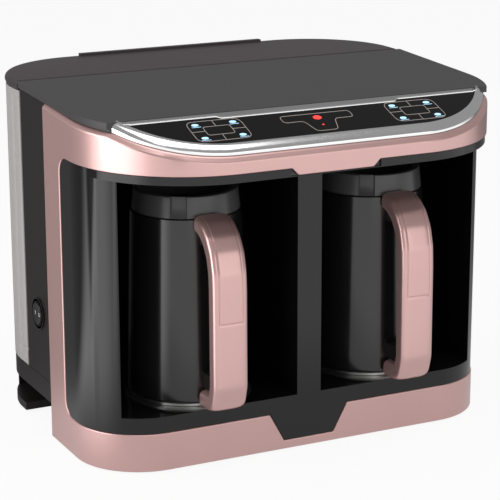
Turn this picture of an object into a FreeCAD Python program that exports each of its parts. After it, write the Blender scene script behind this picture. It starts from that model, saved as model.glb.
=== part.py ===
import FreeCAD, Part
import math
import os

V = FreeCAD.Vector

# Twin-pot electric coffee maker, in millimetres.
# X runs to the right, the front faces -Y, and Z is up from the surface it stands on.

# Overall sizes
half_width = 160.0
front_y = -138.0
rear_y = 138.0
top_z = 256.0

# Plan shape of the head and of the base, which the head overhangs at the front
head_corner = 88.0
base_front_y = -100.0
base_corner = 50.0
rear_corner = 72.0

# Walls and clearances
wall = 2.5
frame_wall = 2.5
gap = 0.3
side_inset = 2.0

# Heights
foot_height = 1.5
rear_floor_z = 25.0
shelf_z = 40.0
shelf_thickness = 3.0
floor_thickness = 3.0

# Legs, feet and mains inlet
leg_inner_x = 96.0
leg_front_y = 60.0
inlet_x = 60.0
inlet_z = 32.5
foot_x = 118.0
foot_front_y = -72.0
foot_rear_y = 112.0
foot_radius = 8.0
screw_hole = 1.6

# Rose front frame
band_low_z = 217.0
band_slope = 0.06
band_top_z = 248.8
nose_slope = 0.34
band_front_z = 228.0
strip_front_y = -30.0
strip_rear_y = 0.0
bottom_band_top = 29.0
opening_round = 12.0
rim_height = 4.0
rim_width = 7.0
rim_chamfer = 2.6
tab_half_low = 29.0
tab_half_high = 34.0
tab_drop = 5.0
notch_half_low = 20.0
notch_half_high = 32.0
notch_low_z = 8.0

# Fascia and the two pot bays
bay_inner_x = 9.5
bay_outer_x = 141.0
bay_back_y = -5.0
bay_floor_z = 41.0
visor_half = half_width - 6.0
visor_thickness = 6.0
lip_low_z = band_low_z - visor_thickness

# Pots
pot_x = 74.0
pot_y = -52.0
pot_bottom_radius = 44.0
pot_top_radius = 40.0
pot_wall = 1.2
plate_proud = 0.7
plate_top = bay_floor_z + plate_proud
disc_low = plate_top + gap
disc_thickness = 2.0
disc_radius = pot_bottom_radius - 3.0
pot_body_low = disc_low + disc_thickness
pot_body_high = 176.5
collar_height = 15.5
collar_high = pot_body_high + collar_height
collar_low_radius = pot_top_radius - pot_wall - 0.2
collar_high_radius = collar_low_radius - 1.6
collar_bore = collar_high_radius - 4.0
notch_width = 12.0
notch_sill = 2.5
notch_floor = 3.0
notch_turn = -32.0

# Pot handle, drawn in the plane X = pot_x
handle_width = 26.0
handle_core_width = 15.0
handle_front_y = -127.0
handle_thickness = 12.5
core_thickness = 3.0
inlay_width = 18.0
inlay_depth = 1.0
inlay_low_z = pot_body_low + 65.0
inlay_high_z = pot_body_high - 18.0
handle_round = 3.0
inlay_fit = 0.1

# Hotplates and their sprung sensors
plate_radius = 46.0
plate_thickness = 2.4
spout_stem = 4.0
spout_drop = 11.0
eye_stem = 6.0
eye_y = -34.0
sensor_radius = 4.0
sensor_fit = 0.08
cap_height = 6.0
flange_drop = 4.0
flange_thickness = 1.2
flange_lap = 1.5
sensor_stem = 2.0
cup_radius = 9.0
cup_bore = 7.0
cup_depth = 4.0
spring_low = 14.0
spring_turns = 5
spring_wire = 0.4
spring_radius = 4.2
spring_rest = 0.1
ring_radius = 30.0
ring_tube = 3.5
post_radius = 4.0
post_reach = 38.0

# Top cover, lid and control panel
cover_slope = 0.04
cover_thickness = 4.5
cover_front_y = -92.0
skirt_inset = 3.0
cover_inset = 0.6
cover_rear_y = 50.2
lid_seam = 1.8
lid_front_y = cover_rear_y + lid_seam
lid_thickness = 7.0
lid_axis_y = lid_front_y + lid_thickness / 2
lid_axis_z = top_z - lid_thickness / 2
ear_x = 60.0
ear_width = 8.0
ear_thick = 4.4
pin_radius = 1.0
pin_fit = 0.05
pin_grip = 8.0
pocket_top = 2.6
panel_slope = 0.36
panel_inset = 9.3
glass_thickness = 3.0
trim_fall = 3.6
trim_facets = 3
trim_inset = 3.3
rear_trim_width = 7.2
rear_trim_depth = 6.0
rear_trim_sink = 0.1
grip_half = 78.0
grip_height = 1.6
grip_depth = 5.0

# Water tank and its outlet valve
tank_front_y = cover_rear_y + gap
tank_wall = 2.2
tank_floor = 3.0
tank_inset = 1.5
tank_front_round = 6.0
tank_low = shelf_z + gap
tank_high = top_z - lid_thickness - gap
ear_arm_low = tank_high - 12.7
ear_arm_high = tank_high - 5.7
outlet_y = 92.0
outlet_bore = 7.0
outlet_wall = 2.2
outlet_height = 12.0
spigot_radius = outlet_bore - 1.0
spigot_height = 8.0
nose_radius = 1.5
nose_height = 0.2
cage_bar = 3.0
cage_height = 20.0
poppet_seat = 8.2
poppet_thickness = 2.5
poppet_stem = 2.0
poppet_length = 27.0
stem_fit = 0.08

# Rocker switch on the left side
switch_y = 25.0
switch_z = 88.0
rocker_radius = 8.3
rocker_thickness = 7.0
rocker_fit = 0.6
rocker_sink = 1.5
rocker_axis_x = side_inset + rocker_sink - half_width
rocker_pin = 1.0
bezel_bore = rocker_radius + rocker_fit
bezel_barrel = bezel_bore + 1.7
bezel_radius = bezel_barrel + 1.4
bezel_proud = 1.2
bezel_depth = 7.2
switch_depth = 18.0

# Pumps, hoses and boards
pump_x = 100.0
pump_y = 22.0
pump_low = 62.0
pump_high = 132.0
pump_radius = 11.0
coil_half_x = 17.0
coil_half_y = 14.0
coil_margin = 17.0
hose_radius = 3.0
hose_wall = 1.0
nipple_radius = hose_radius - hose_wall - 0.05
nipple_length = 12.0
feed_z = rear_floor_z + floor_thickness + 5.0
feed_top = feed_z - 0.6
delivery_z = band_low_z + 9.0
delivery_bend = 15.0
intake_bend = 12.0
spout_y = -64.0
spout_bore = 2.0
board_thickness = 1.6
board_standoff = 6.0
post_round = 3.0


def save(name, shape):
    """Write one node."""
    shape.exportStep("parts/" + name + ".step")


def outline(half, front, front_round, rear, rear_round, z):
    """Closed plan outline with round corners, symmetric about X = 0."""
    fk = front_round * math.sqrt(0.5)
    rk = rear_round * math.sqrt(0.5)
    fx = half - front_round
    fy = front + front_round
    rx = half - rear_round
    ry = rear - rear_round
    parts = [
        Part.LineSegment(V(-fx, front, z), V(fx, front, z)).toShape(),
        Part.Arc(V(fx, front, z), V(fx + fk, fy - fk, z), V(half, fy, z)).toShape(),
        Part.LineSegment(V(half, fy, z), V(half, ry, z)).toShape(),
    ]
    if rear_round > 0.0:
        parts.append(Part.Arc(V(half, ry, z), V(rx + rk, ry + rk, z), V(rx, rear, z)).toShape())
    parts.append(Part.LineSegment(V(rx, rear, z), V(-rx, rear, z)).toShape())
    if rear_round > 0.0:
        parts.append(Part.Arc(V(-rx, rear, z), V(-rx - rk, ry + rk, z), V(-half, ry, z)).toShape())
    parts.append(Part.LineSegment(V(-half, ry, z), V(-half, fy, z)).toShape())
    parts.append(Part.Arc(V(-half, fy, z), V(-fx - fk, fy - fk, z), V(-fx, front, z)).toShape())
    return Part.Wire(parts)


def slab(half, front, front_round, rear, rear_round, z0, z1):
    """Prism on a plan outline."""
    face = Part.Face(outline(half, front, front_round, rear, rear_round, z0))
    return face.extrude(V(0, 0, z1 - z0))


def head_slab(inset, z0, z1, rear=strip_rear_y):
    """Prism on the head's plan, drawn in by an inset."""
    return slab(half_width - inset, front_y + inset, head_corner - inset, rear, 0.0, z0, z1)


def base_slab(inset, z0, z1, rear=strip_rear_y):
    """Prism on the base's plan, drawn in by an inset."""
    return slab(half_width - inset, base_front_y + inset, base_corner - inset, rear, 0.0, z0, z1)


def box(x0, x1, y0, y1, z0, z1):
    """Box between two corners."""
    return Part.makeBox(x1 - x0, y1 - y0, z1 - z0, V(x0, y0, z0))


def rod(radius, start, end):
    """Cylinder from one point to another."""
    line = end.sub(start)
    return Part.makeCylinder(radius, line.Length, start, line)


def prism_x(points, x0, x1):
    """Polygon in the YZ plane, extruded along X."""
    corners = [V(x0, y, z) for y, z in points]
    face = Part.Face(Part.makePolygon(corners + [corners[0]]))
    return face.extrude(V(x1 - x0, 0, 0))


def prism_y(points, y0, y1):
    """Polygon in the XZ plane, extruded along Y."""
    corners = [V(x, y0, z) for x, z in points]
    face = Part.Face(Part.makePolygon(corners + [corners[0]]))
    return face.extrude(V(0, y1 - y0, 0))


def above(z_at_zero, slope, pivot_y=0.0):
    """Everything above the plane z = z_at_zero + slope * (y - pivot_y)."""
    far = 400.0
    low_z = z_at_zero + slope * (-far - pivot_y)
    high_z = z_at_zero + slope * (far - pivot_y)
    return prism_x([(-far, low_z), (far, high_z), (far, 900.0), (-far, 900.0)], -far, far)


def over_band(rise):
    """Everything above the head band's top edge, which falls faster at the front, raised by rise."""
    return above(band_top_z + rise, band_slope).fuse(above(band_front_z + rise, nose_slope, front_y))


def round_edges(shape, radius, keep):
    """Fillet the edges that a test picks out."""
    return shape.makeFillet(radius, [e for e in shape.Edges if keep(e)])


def along(edge, direction):
    """True for a straight edge along a direction."""
    if not isinstance(edge.Curve, (Part.Line, Part.LineSegment)):
        return False
    ends = edge.Vertexes
    line = ends[-1].Point.sub(ends[0].Point)
    return line.cross(direction).Length < 1e-3 * line.Length


def cover_under(y):
    """Height of the top cover's underside."""
    return top_z - cover_slope * (cover_rear_y - y) - cover_thickness


panel_z = top_z - cover_slope * (cover_rear_y - cover_front_y)
os.makedirs("parts", exist_ok=True)


def front_frame():
    """Rose front frame: head band, side strips and bottom band in one shell."""
    band = head_slab(0.0, band_low_z, top_z).cut(head_slab(frame_wall, band_low_z - 1, top_z + 1, 10.0))
    rim = head_slab(0.0, band_low_z, top_z).cut(head_slab(rim_width, band_low_z - 1, top_z + 1, 10.0))
    rim = rim.common(over_band(-rim_height))
    foot = base_slab(0.0, foot_height, bottom_band_top)
    foot = foot.cut(base_slab(frame_wall, foot_height - 1, bottom_band_top + 1, 10.0))
    band = band.fuse(rim)
    strips = []
    for side in (-1, 1):
        outer = side * half_width
        inner = side * (half_width - frame_wall)
        strip = box(min(outer, inner), max(outer, inner), strip_front_y, strip_rear_y,
                    bottom_band_top - 1, band_low_z + 1)
        strips.append(strip)
        low, high = min(outer, inner), max(outer, inner)
        r = opening_round
        for z, sign in ((bottom_band_top, 1), (band_low_z, -1)):
            web = box(low, high, strip_front_y - r, strip_front_y, min(z, z + sign * r), max(z, z + sign * r))
            hole_y, hole_z = strip_front_y - r, z + sign * r
            hole = rod(r, V(low - 1, hole_y, hole_z), V(high + 1, hole_y, hole_z))
            strips.append(web.cut(hole))
    frame = band.fuse([foot] + strips)
    tab = prism_y([(-tab_half_high, band_low_z + 1), (tab_half_high, band_low_z + 1),
                   (tab_half_high, band_low_z), (tab_half_low, band_low_z - tab_drop),
                   (-tab_half_low, band_low_z - tab_drop), (-tab_half_high, band_low_z)],
                  front_y, front_y + frame_wall)
    frame = frame.fuse(tab)
    notch = prism_y([(-notch_half_low, notch_low_z), (notch_half_low, notch_low_z),
                     (notch_half_high, bottom_band_top + 1), (-notch_half_high, bottom_band_top + 1)],
                    base_front_y - 1, base_front_y + frame_wall + 1)
    frame = frame.cut(notch).cut(over_band(0.0)).removeSplitter()
    edges = [e for e in frame.Edges if is_rim_edge(e)]
    return frame.makeChamfer(rim_chamfer, edges)


def is_rim_edge(edge):
    """True for the outer top edge of the head band."""
    box_ = edge.BoundBox
    point = edge.valueAt(0.5 * (edge.FirstParameter + edge.LastParameter))
    top = min(band_top_z + band_slope * point.y, band_front_z + nose_slope * (point.y - front_y))
    on_plane = abs(point.z - top) < 0.01
    fy = front_y + head_corner
    fx = half_width - head_corner
    if point.y > fy:
        outer = abs(abs(point.x) - half_width) < 0.01
    elif abs(point.x) < fx:
        outer = abs(point.y - front_y) < 0.01
    else:
        outer = abs(math.hypot(abs(point.x) - fx, point.y - fy) - head_corner) < 0.01
    return on_plane and outer and box_.DiagonalLength > 2.0 * rim_width


def bay(side, grow):
    """Space of one pot bay, made larger by grow on its sides, back and floor."""
    x0, x1 = sorted((side * (bay_inner_x - grow), side * (bay_outer_x + grow)))
    block = box(x0, x1, base_front_y - 20, bay_back_y + grow, bay_floor_z - grow, lip_low_z)
    corner = 8.0 + grow
    return round_edges(block, corner, lambda e: along(e, V(0, 0, 1)) and e.Vertexes[0].Y > bay_back_y - 1)


def fascia():
    """Glossy black insert: pillars, centre column, bay shells, sill and the visor over the bays."""
    skin_inset = 0.6
    edge_y = strip_front_y - gap
    high = band_low_z - gap
    low = bottom_band_top + gap
    outer = base_slab(skin_inset, low, high, edge_y)
    inner = base_slab(skin_inset + wall, low - 1, high + 1, edge_y + 1)
    shell = outer.cut(inner)
    corner_hole = opening_round + gap
    for side in (-1, 1):
        for z, sign in ((bottom_band_top + gap, 1), (band_low_z - gap, -1)):
            x0, x1 = sorted((side * (half_width - 4), side * (half_width + 4)))
            y0 = edge_y - opening_round
            hole_z = z + sign * opening_round
            web = box(x0, x1, y0, edge_y + 1, min(z, hole_z), max(z, hole_z))
            hole = rod(opening_round, V(x0 - 1, y0, hole_z), V(x1 + 1, y0, hole_z))
            shell = shell.cut(web.cut(hole))
    tab = prism_y([(-notch_half_low + gap, notch_low_z + gap), (notch_half_low - gap, notch_low_z + gap),
                   (notch_half_high - gap, low + 1), (-notch_half_high + gap, low + 1)],
                  base_front_y + skin_inset, base_front_y + frame_wall)
    plate = head_slab(1.0, lip_low_z, band_low_z - gap, bay_back_y + wall)
    plate = plate.common(box(-visor_half, visor_half, front_y, bay_back_y + wall, 0, top_z))
    tab_seat = box(-tab_half_high - 1, tab_half_high + 1, front_y - 1, front_y + frame_wall + gap,
                   lip_low_z + 0.7, band_low_z)
    body = shell.fuse([tab, plate, bay(-1, wall).common(outer_room()), bay(1, wall).common(outer_room())])
    body = body.cut(tab_seat)
    for side in (-1, 1):
        body = body.cut(bay(side, 0.0))
        centre = V(side * pot_x, pot_y, 0)
        body = body.cut(Part.makeCylinder(plate_radius + gap, 20, V(centre.x, centre.y, bay_floor_z - 10)))
        body = body.cut(Part.makeCylinder(spout_stem + gap, 20, V(centre.x, spout_y, lip_low_z - 5)))
        body = body.cut(Part.makeCylinder(eye_stem + gap, 20, V(centre.x, eye_y, lip_low_z - 5)))
    return body.removeSplitter()


def outer_room():
    """Space that the bay shells may fill, inside the base's plan."""
    return base_slab(0.6, bay_floor_z - wall, lip_low_z, bay_back_y + wall)


def chassis():
    """Black bottom tray with the tank shelf at the rear and two rear legs."""
    inset = frame_wall + gap
    front = base_slab(inset, foot_height, bottom_band_top)
    front = front.cut(base_slab(inset + wall, foot_height + floor_thickness, bay_floor_z, strip_rear_y))
    half = half_width - side_inset
    rear_r = rear_corner - side_inset
    rear_box = slab(half, strip_rear_y + gap, 0.001, rear_y, rear_r, rear_floor_z, shelf_z)
    core = slab(half - wall, strip_rear_y + gap + wall, 0.001, rear_y - wall, rear_r - wall,
                rear_floor_z + floor_thickness, shelf_z - shelf_thickness)
    well = box(-half + wall, half - wall, strip_rear_y + gap + wall, tank_front_y - 2 * gap - wall,
               rear_floor_z + floor_thickness, shelf_z + 1)
    rear_box = rear_box.cut(core).cut(well)
    joint_wall = box(-half + 10, half - 10, strip_rear_y - wall, strip_rear_y + 2 * wall,
                     foot_height, rear_floor_z + 3)
    legs = slab(half, strip_rear_y + gap, 0.001, rear_y, rear_r, foot_height, rear_floor_z + 1)
    keep = []
    for side in (-1, 1):
        x0, x1 = sorted((side * leg_inner_x, side * half_width))
        block = legs.common(box(x0, x1, leg_front_y, rear_y, foot_height, rear_floor_z + 1))
        px0, px1 = sorted((side * (leg_inner_x + 12), side * (half_width + 5)))
        pocket = box(px0, px1, leg_front_y - 1, rear_y - 34, foot_height + 6, rear_floor_z)
        keep.append(block.cut(pocket))
    body = front.fuse([rear_box, joint_wall] + keep)
    body = body.cut(box(-80, 80, strip_rear_y - 5, strip_rear_y + 10, rear_floor_z + floor_thickness, 60))
    body = body.cut(Part.makeCylinder(spigot_radius - 2.5, 30, V(0, outlet_y, shelf_z - 15)))
    body = body.cut(Part.makeCylinder(5.0, 30, V(inlet_x, rear_y - 20, inlet_z), V(0, 1, 0)))
    for x in (-foot_x, foot_x):
        body = body.cut(Part.makeCylinder(screw_hole, 20, V(x, foot_front_y, 0)))
    return body.removeSplitter()


def rubber_feet():
    """Four rubber feet under the front tray and the rear legs."""
    feet = []
    for x in (-foot_x, foot_x):
        for y in (foot_front_y, foot_rear_y):
            feet.append(Part.makeCylinder(foot_radius, foot_height, V(x, y, 0)))
    return Part.makeCompound(feet)


def housing():
    """Black side walls behind the front frame, joined by the bulkhead in front of the tank."""
    half = half_width - side_inset
    low = shelf_z
    high = top_z
    y1 = tank_front_y - gap
    y0 = strip_rear_y + gap
    body = box(-half, half, y0, y1, low, high)
    body = body.cut(box(-half + wall, half - wall, y0 - 1, y1 - wall, low - 1, high + 1))
    body = body.cut(above(cover_under(0.0), cover_slope))
    body = body.cut(rod(bezel_barrel + gap / 2, V(-half - 5, switch_y, switch_z),
                        V(-half + 10, switch_y, switch_z)))
    rails = []
    for side in (-1, 1):
        x0, x1 = sorted((side * (half - wall), side * (half - wall - 3)))
        rails.append(box(x0, x1, strip_rear_y - 22, y1 - wall, 150, 158))
    return body.fuse(rails).removeSplitter()


def top_cover():
    """Dark top cover from the control panel to the tank lid."""
    body = slab(half_width - cover_inset, front_y + cover_inset, head_corner - cover_inset, cover_rear_y, 0.0,
                top_z - 30, top_z + 5)
    body = body.common(box(-half_width, half_width, cover_front_y, cover_rear_y, 0, top_z + 5))
    body = body.cut(above(top_z, cover_slope, cover_rear_y))
    body = body.common(above(cover_under(0.0), cover_slope))
    skirt = head_slab(skirt_inset, band_low_z, top_z)
    skirt = skirt.cut(head_slab(skirt_inset + wall, band_low_z - 1, top_z + 1, 10.0))
    skirt = skirt.common(box(-half_width, half_width, cover_front_y + gap, strip_rear_y, band_low_z, top_z))
    skirt = skirt.common(over_band(gap)).cut(above(cover_under(0.0) + 0.1, cover_slope))
    return body.fuse(skirt).removeSplitter()


def tank_lid():
    """Rear lid of the water tank: round-nosed at its hinge, pocketed for two ears, with a finger grip."""
    half = half_width - cover_inset
    body = slab(half, lid_front_y, 0.001, rear_y, rear_corner - cover_inset, top_z - lid_thickness, top_z)
    nose_round = lid_thickness / 2 - pin_fit
    body = round_edges(body, nose_round, lambda e: along(e, V(1, 0, 0)) and e.Vertexes[0].Y < lid_axis_y)
    grip = box(-grip_half, grip_half, rear_y - grip_depth, rear_y, top_z - lid_thickness, top_z + grip_height)
    body = body.fuse(grip)
    for side in (-1, 1):
        x0 = side * ear_x - ear_width / 2 - gap
        pocket = box(x0, x0 + ear_width + 2 * gap, lid_front_y - 1, lid_axis_y + ear_thick / 2 + 2 * gap,
                     top_z - lid_thickness - 1, lid_axis_z + pocket_top)
        body = body.cut(pocket)
        body = body.cut(pin(side))
    return body.removeSplitter()


def pin(side):
    """Hinge pin through the ear on one side."""
    reach = ear_width / 2 + gap + pin_grip
    centre = side * ear_x
    return rod(pin_radius, V(centre - reach, lid_axis_y, lid_axis_z), V(centre + reach, lid_axis_y, lid_axis_z))


def lid_pins():
    """Hinge pins, held in the lid and turning in the tank's ears."""
    return Part.makeCompound([pin(-1), pin(1)])


def tank_plan(inset, z0, z1):
    """Prism on the tank's plan."""
    half = half_width - tank_inset - inset
    rear_round = rear_corner - tank_inset - inset
    return slab(half, tank_front_y + inset, tank_front_round - inset, rear_y - inset, rear_round, z0, z1)


def water_tank():
    """Open-topped translucent tank with an outlet collar in its floor and two hinge ears."""
    body = tank_plan(0.0, tank_low, tank_high).cut(tank_plan(tank_wall, tank_low + tank_floor, tank_high + 1))
    parts = []
    for side in (-1, 1):
        x0 = side * ear_x - ear_width / 2
        stem = box(x0, x0 + ear_width, lid_axis_y - ear_thick / 2, lid_axis_y + ear_thick / 2,
                   ear_arm_low, lid_axis_z)
        head = rod(ear_thick / 2, V(x0, lid_axis_y, lid_axis_z), V(x0 + ear_width, lid_axis_y, lid_axis_z))
        arm = box(x0, x0 + ear_width, tank_front_y + 1, lid_axis_y + ear_thick / 2, ear_arm_low, ear_arm_high)
        parts.extend([stem, head, arm])
    parts.append(Part.makeCylinder(outlet_bore + outlet_wall, outlet_height, V(0, outlet_y, tank_low + 1)))
    body = body.fuse(parts)
    body = body.cut(Part.makeCylinder(outlet_bore, 40.0, V(0, outlet_y, tank_low - 5)))
    for side in (-1, 1):
        x0 = side * ear_x - ear_width / 2
        body = body.cut(rod(pin_radius + pin_fit, V(x0 - 1, lid_axis_y, lid_axis_z),
                            V(x0 + ear_width + 1, lid_axis_y, lid_axis_z)))
    return body.removeSplitter()


def valve_cage():
    """Cage of the outlet valve: a bridge over the collar that guides the poppet's stem."""
    low = tank_low + 1.0 + outlet_height
    high = low + cage_height
    reach = outlet_bore + outlet_wall
    y0, y1 = outlet_y - cage_bar / 2, outlet_y + cage_bar / 2
    ring = Part.makeCylinder(reach, cage_bar, V(0, outlet_y, low))
    ring = ring.cut(Part.makeCylinder(outlet_bore, cage_bar + 2, V(0, outlet_y, low - 1)))
    bars = [box(-reach, reach, y0, y1, high - cage_bar, high)]
    for side in (-1, 1):
        x0, x1 = sorted((side * outlet_bore, side * reach))
        bars.append(box(x0, x1, y0, y1, low + 1, high))
    bars.append(Part.makeCylinder(poppet_stem + 2.0, cage_bar, V(0, outlet_y, high - cage_bar)))
    cage = ring.fuse(bars)
    bore = Part.makeCylinder(poppet_stem + stem_fit, 2 * cage_bar, V(0, outlet_y, high - 1.5 * cage_bar))
    return cage.cut(bore).removeSplitter()


def valve_poppet():
    """Poppet of the outlet valve, lifted off its seat by the spigot."""
    low = tank_low + poppet_seat
    disc = Part.makeCylinder(outlet_bore - 2 * gap, poppet_thickness, V(0, outlet_y, low))
    stem = Part.makeCylinder(poppet_stem, poppet_length, V(0, outlet_y, low))
    return disc.fuse(stem).removeSplitter()


def spigot():
    """Spigot on the shelf that enters the tank's outlet and feeds the pumps."""
    under = shelf_z - shelf_thickness
    body = Part.makeCylinder(spigot_radius, spigot_height, V(0, outlet_y, shelf_z))
    nose = Part.makeCylinder(nose_radius, 2 * nose_height, V(0, outlet_y, shelf_z + spigot_height - nose_height))
    stem = Part.makeCylinder(spigot_radius - 2.8, shelf_thickness, V(0, outlet_y, under))
    elbow = Part.makeCylinder(spigot_radius - 2.0, under - feed_top, V(0, outlet_y, feed_top))
    body = body.fuse([nose, stem, elbow])
    return body.cut(Part.makeCylinder(spout_bore, spigot_height, V(0, outlet_y, shelf_z + 1.5))).removeSplitter()


def spigot_seal():
    """Rubber ring between the spigot and the tank's outlet."""
    ring = Part.makeCylinder(outlet_bore - 0.1, 2.0, V(0, outlet_y, shelf_z + 3.0))
    return ring.cut(Part.makeCylinder(spigot_radius, 4.0, V(0, outlet_y, shelf_z + 2.0)))


def panel_top(inset_z=0.0):
    """Everything above the control panel's sloping face, dropped by inset_z."""
    return above(panel_z - inset_z, panel_slope, cover_front_y)


def touch_panel():
    """Black glass touch panel in the sloping front of the head."""
    body = head_slab(panel_inset, 200.0, top_z).common(ahead_of(cover_front_y - rear_trim_width - gap))
    body = body.cut(panel_top(0.4))
    return body.common(panel_top(0.4 + glass_thickness))


def front_trim():
    """Bright trim strip that falls in facets from the glass to the rose band."""
    ahead = ahead_of(cover_front_y - gap)
    body = head_slab(trim_inset, 200.0, top_z).cut(head_slab(panel_inset - 0.2, 190.0, top_z + 1, 10.0))
    body = body.common(ahead).common(over_band(gap)).cut(panel_top(0.0))
    for step in range(trim_facets):
        share = (step + 1) / trim_facets
        outside = head_slab(0.0, 190.0, top_z + 1, 10.0)
        outside = outside.cut(head_slab(trim_inset + (panel_inset - trim_inset) * share, 180.0, top_z + 2, 20.0))
        body = body.cut(outside.common(panel_top(trim_fall * (1.0 - share))))
    return body.removeSplitter()


def ahead_of(y):
    """Everything in front of a plane across the head."""
    return box(-half_width, half_width, front_y - 1, y, 0, top_z + 50)


def rear_trim():
    """Bright trim bar along the rear of the glass, between the ends of the front strip."""
    body = box(-half_width, half_width, cover_front_y - rear_trim_width, cover_front_y - gap,
               panel_z - rear_trim_depth, top_z)
    return body.common(head_slab(panel_inset, 200.0, top_z)).cut(panel_top(rear_trim_sink))


def control_board():
    """Control board under the glass, with its touch springs' pads and a buzzer."""
    z = band_low_z + 6.0
    board = box(-100, 100, -122, -98, z, z + board_thickness)
    lumps = [box(-18, 18, -118, -104, z + board_thickness, z + board_thickness + 2.0),
             Part.makeCylinder(5.0, 4.0, V(60, -104, z + board_thickness))]
    posts = []
    for x in (-90, 90):
        for y in (-118, -102):
            posts.append(Part.makeCylinder(post_round, z - band_low_z + gap, V(x, y, band_low_z - gap)))
    return board.fuse(lumps + posts).removeSplitter()


def power_board():
    """Power board on the bulkhead, with a transformer and two relays."""
    y = tank_front_y - gap - wall
    back = y - board_standoff
    front = back - board_thickness
    board = box(-60, 60, front, back, 70, 190)
    lumps = [box(-45, -5, front - 28.4, front, 90, 130),
             box(10, 30, front - 16.4, front, 90, 118),
             box(36, 56, front - 16.4, front, 90, 118)]
    posts = []
    for x in (-52, 52):
        for z in (78, 182):
            posts.append(rod(post_round, V(x, back, z), V(x, y, z)))
    return board.fuse(lumps + posts).removeSplitter()


def pump(side):
    """Vibration pump standing on the tray, with its inlet below and outlet above."""
    x = side * pump_x
    coil = box(x - coil_half_x, x + coil_half_x, pump_y - coil_half_y, pump_y + coil_half_y,
               pump_low + coil_margin, pump_high - coil_margin)
    tube = Part.makeCylinder(pump_radius, pump_high - pump_low, V(x, pump_y, pump_low))
    nipples = [Part.makeCylinder(nipple_radius, nipple_length, V(x, pump_y, pump_low - nipple_length)),
               Part.makeCylinder(nipple_radius, nipple_length, V(x, pump_y, pump_high))]
    return coil.fuse([tube] + nipples).removeSplitter()


def pump_cradle(side):
    """Plastic cradle that holds a pump above the tray."""
    x = side * pump_x
    z = rear_floor_z + floor_thickness
    ring = Part.makeCylinder(pump_radius + 3.0, 8.0, V(x, pump_y, pump_low + 2)).cut(
        Part.makeCylinder(pump_radius, 12.0, V(x, pump_y, pump_low)))
    legs = []
    for toward in (-1, 1):
        y0, y1 = sorted((pump_y + toward * (pump_radius + 0.5), pump_y + toward * (pump_radius + 3.0)))
        legs.append(box(x - 5, x + 5, y0, y1, z, pump_low + 10))
    return ring.fuse(legs).removeSplitter()


def tube_path(points, radii):
    """Wire of straight runs joined by tangent arcs."""
    edges = []
    start = points[0]
    for i in range(1, len(points) - 1):
        corner = points[i]
        before = points[i - 1].sub(corner).normalize()
        after = points[i + 1].sub(corner).normalize()
        turn = math.pi - before.getAngle(after)
        cut = radii[i - 1] * math.tan(turn / 2)
        a = corner.add(before * cut)
        b = corner.add(after * cut)
        middle_dir = before.add(after).normalize()
        centre_reach = radii[i - 1] / math.cos(turn / 2)
        middle = corner.add(middle_dir * (centre_reach - radii[i - 1]))
        edges.append(Part.LineSegment(start, a).toShape())
        edges.append(Part.Arc(a, middle, b).toShape())
        start = b
    edges.append(Part.LineSegment(start, points[-1]).toShape())
    return Part.Wire(edges)


def hose(points, radii):
    """Silicone hose along a path."""
    path = tube_path(points, radii)
    first = path.Edges[0]
    direction = first.tangentAt(first.FirstParameter)
    solids = []
    for radius in (hose_radius, hose_radius - hose_wall):
        circle = Part.Wire(Part.makeCircle(radius, points[0], direction))
        solids.append(path.makePipeShell([circle], True, False))
    return solids[0].cut(solids[1])


def delivery_hose(side):
    """Hose from a pump up over the bay to its spout."""
    x = side * pump_x
    z = delivery_z
    return hose([V(x, pump_y, pump_high + 1), V(x, pump_y, z), V(side * pot_x, spout_y, z)], [delivery_bend])


def intake_hose(side):
    """Hose from the feed manifold up to a pump."""
    x = side * pump_x
    z = feed_z
    return hose([V(side * 9.0, pump_y, z), V(x, pump_y, z), V(x, pump_y, pump_low - 1)], [intake_bend])


def feed_manifold():
    """Tee that takes water from the spigot to both intake hoses."""
    z = feed_z
    stem = box(-4, 4, pump_y - 4, outlet_y + 4, feed_top - 2.6, feed_top)
    bar = rod(nipple_radius, V(-20, pump_y, z), V(20, pump_y, z))
    block = box(-8.7, 8.7, pump_y - 5, pump_y + 5, z - 4.5, z + 4.5)
    return stem.fuse([bar, block]).removeSplitter()


def spout(side):
    """Water spout that points down into a pot, through the bay's ceiling."""
    x = side * pot_x
    low = lip_low_z - spout_drop
    high = delivery_z - hose_radius - 0.4
    stem = Part.makeCylinder(spout_stem, high - low, V(x, spout_y, low))
    flange = Part.makeCylinder(9.0, 3.0, V(x, spout_y, lip_low_z - 3.0 - gap))
    body = stem.fuse(flange)
    return body.cut(Part.makeCylinder(spout_bore, high - low - 2.6, V(x, spout_y, low - 1))).removeSplitter()


def foam_eye(side):
    """Sensor that watches the foam rise, in the bay's ceiling."""
    x = side * pot_x
    stem = Part.makeCylinder(eye_stem, 16.0, V(x, eye_y, lip_low_z - 6))
    flange = Part.makeCylinder(10.0, 2.0, V(x, eye_y, lip_low_z - 2.0 - gap))
    return stem.fuse(flange).removeSplitter()


def hotplate(side):
    """Heating plate in the floor of a bay, with its heating ring and terminals below."""
    x = side * pot_x
    disc = Part.makeCylinder(plate_radius, plate_thickness, V(x, pot_y, plate_top - plate_thickness))
    ring = Part.makeTorus(ring_radius, ring_tube, V(x, pot_y, plate_top - plate_thickness - ring_tube + 1.0))
    floor_z = foot_height + floor_thickness
    posts = [Part.makeCylinder(post_radius, plate_top - plate_thickness - floor_z, V(x + dx, pot_y, floor_z))
             for dx in (-post_reach, post_reach)]
    body = disc.fuse([ring] + posts)
    return body.cut(Part.makeCylinder(sensor_radius + sensor_fit, 30, V(x, pot_y, plate_top - 20))).removeSplitter()


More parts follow.
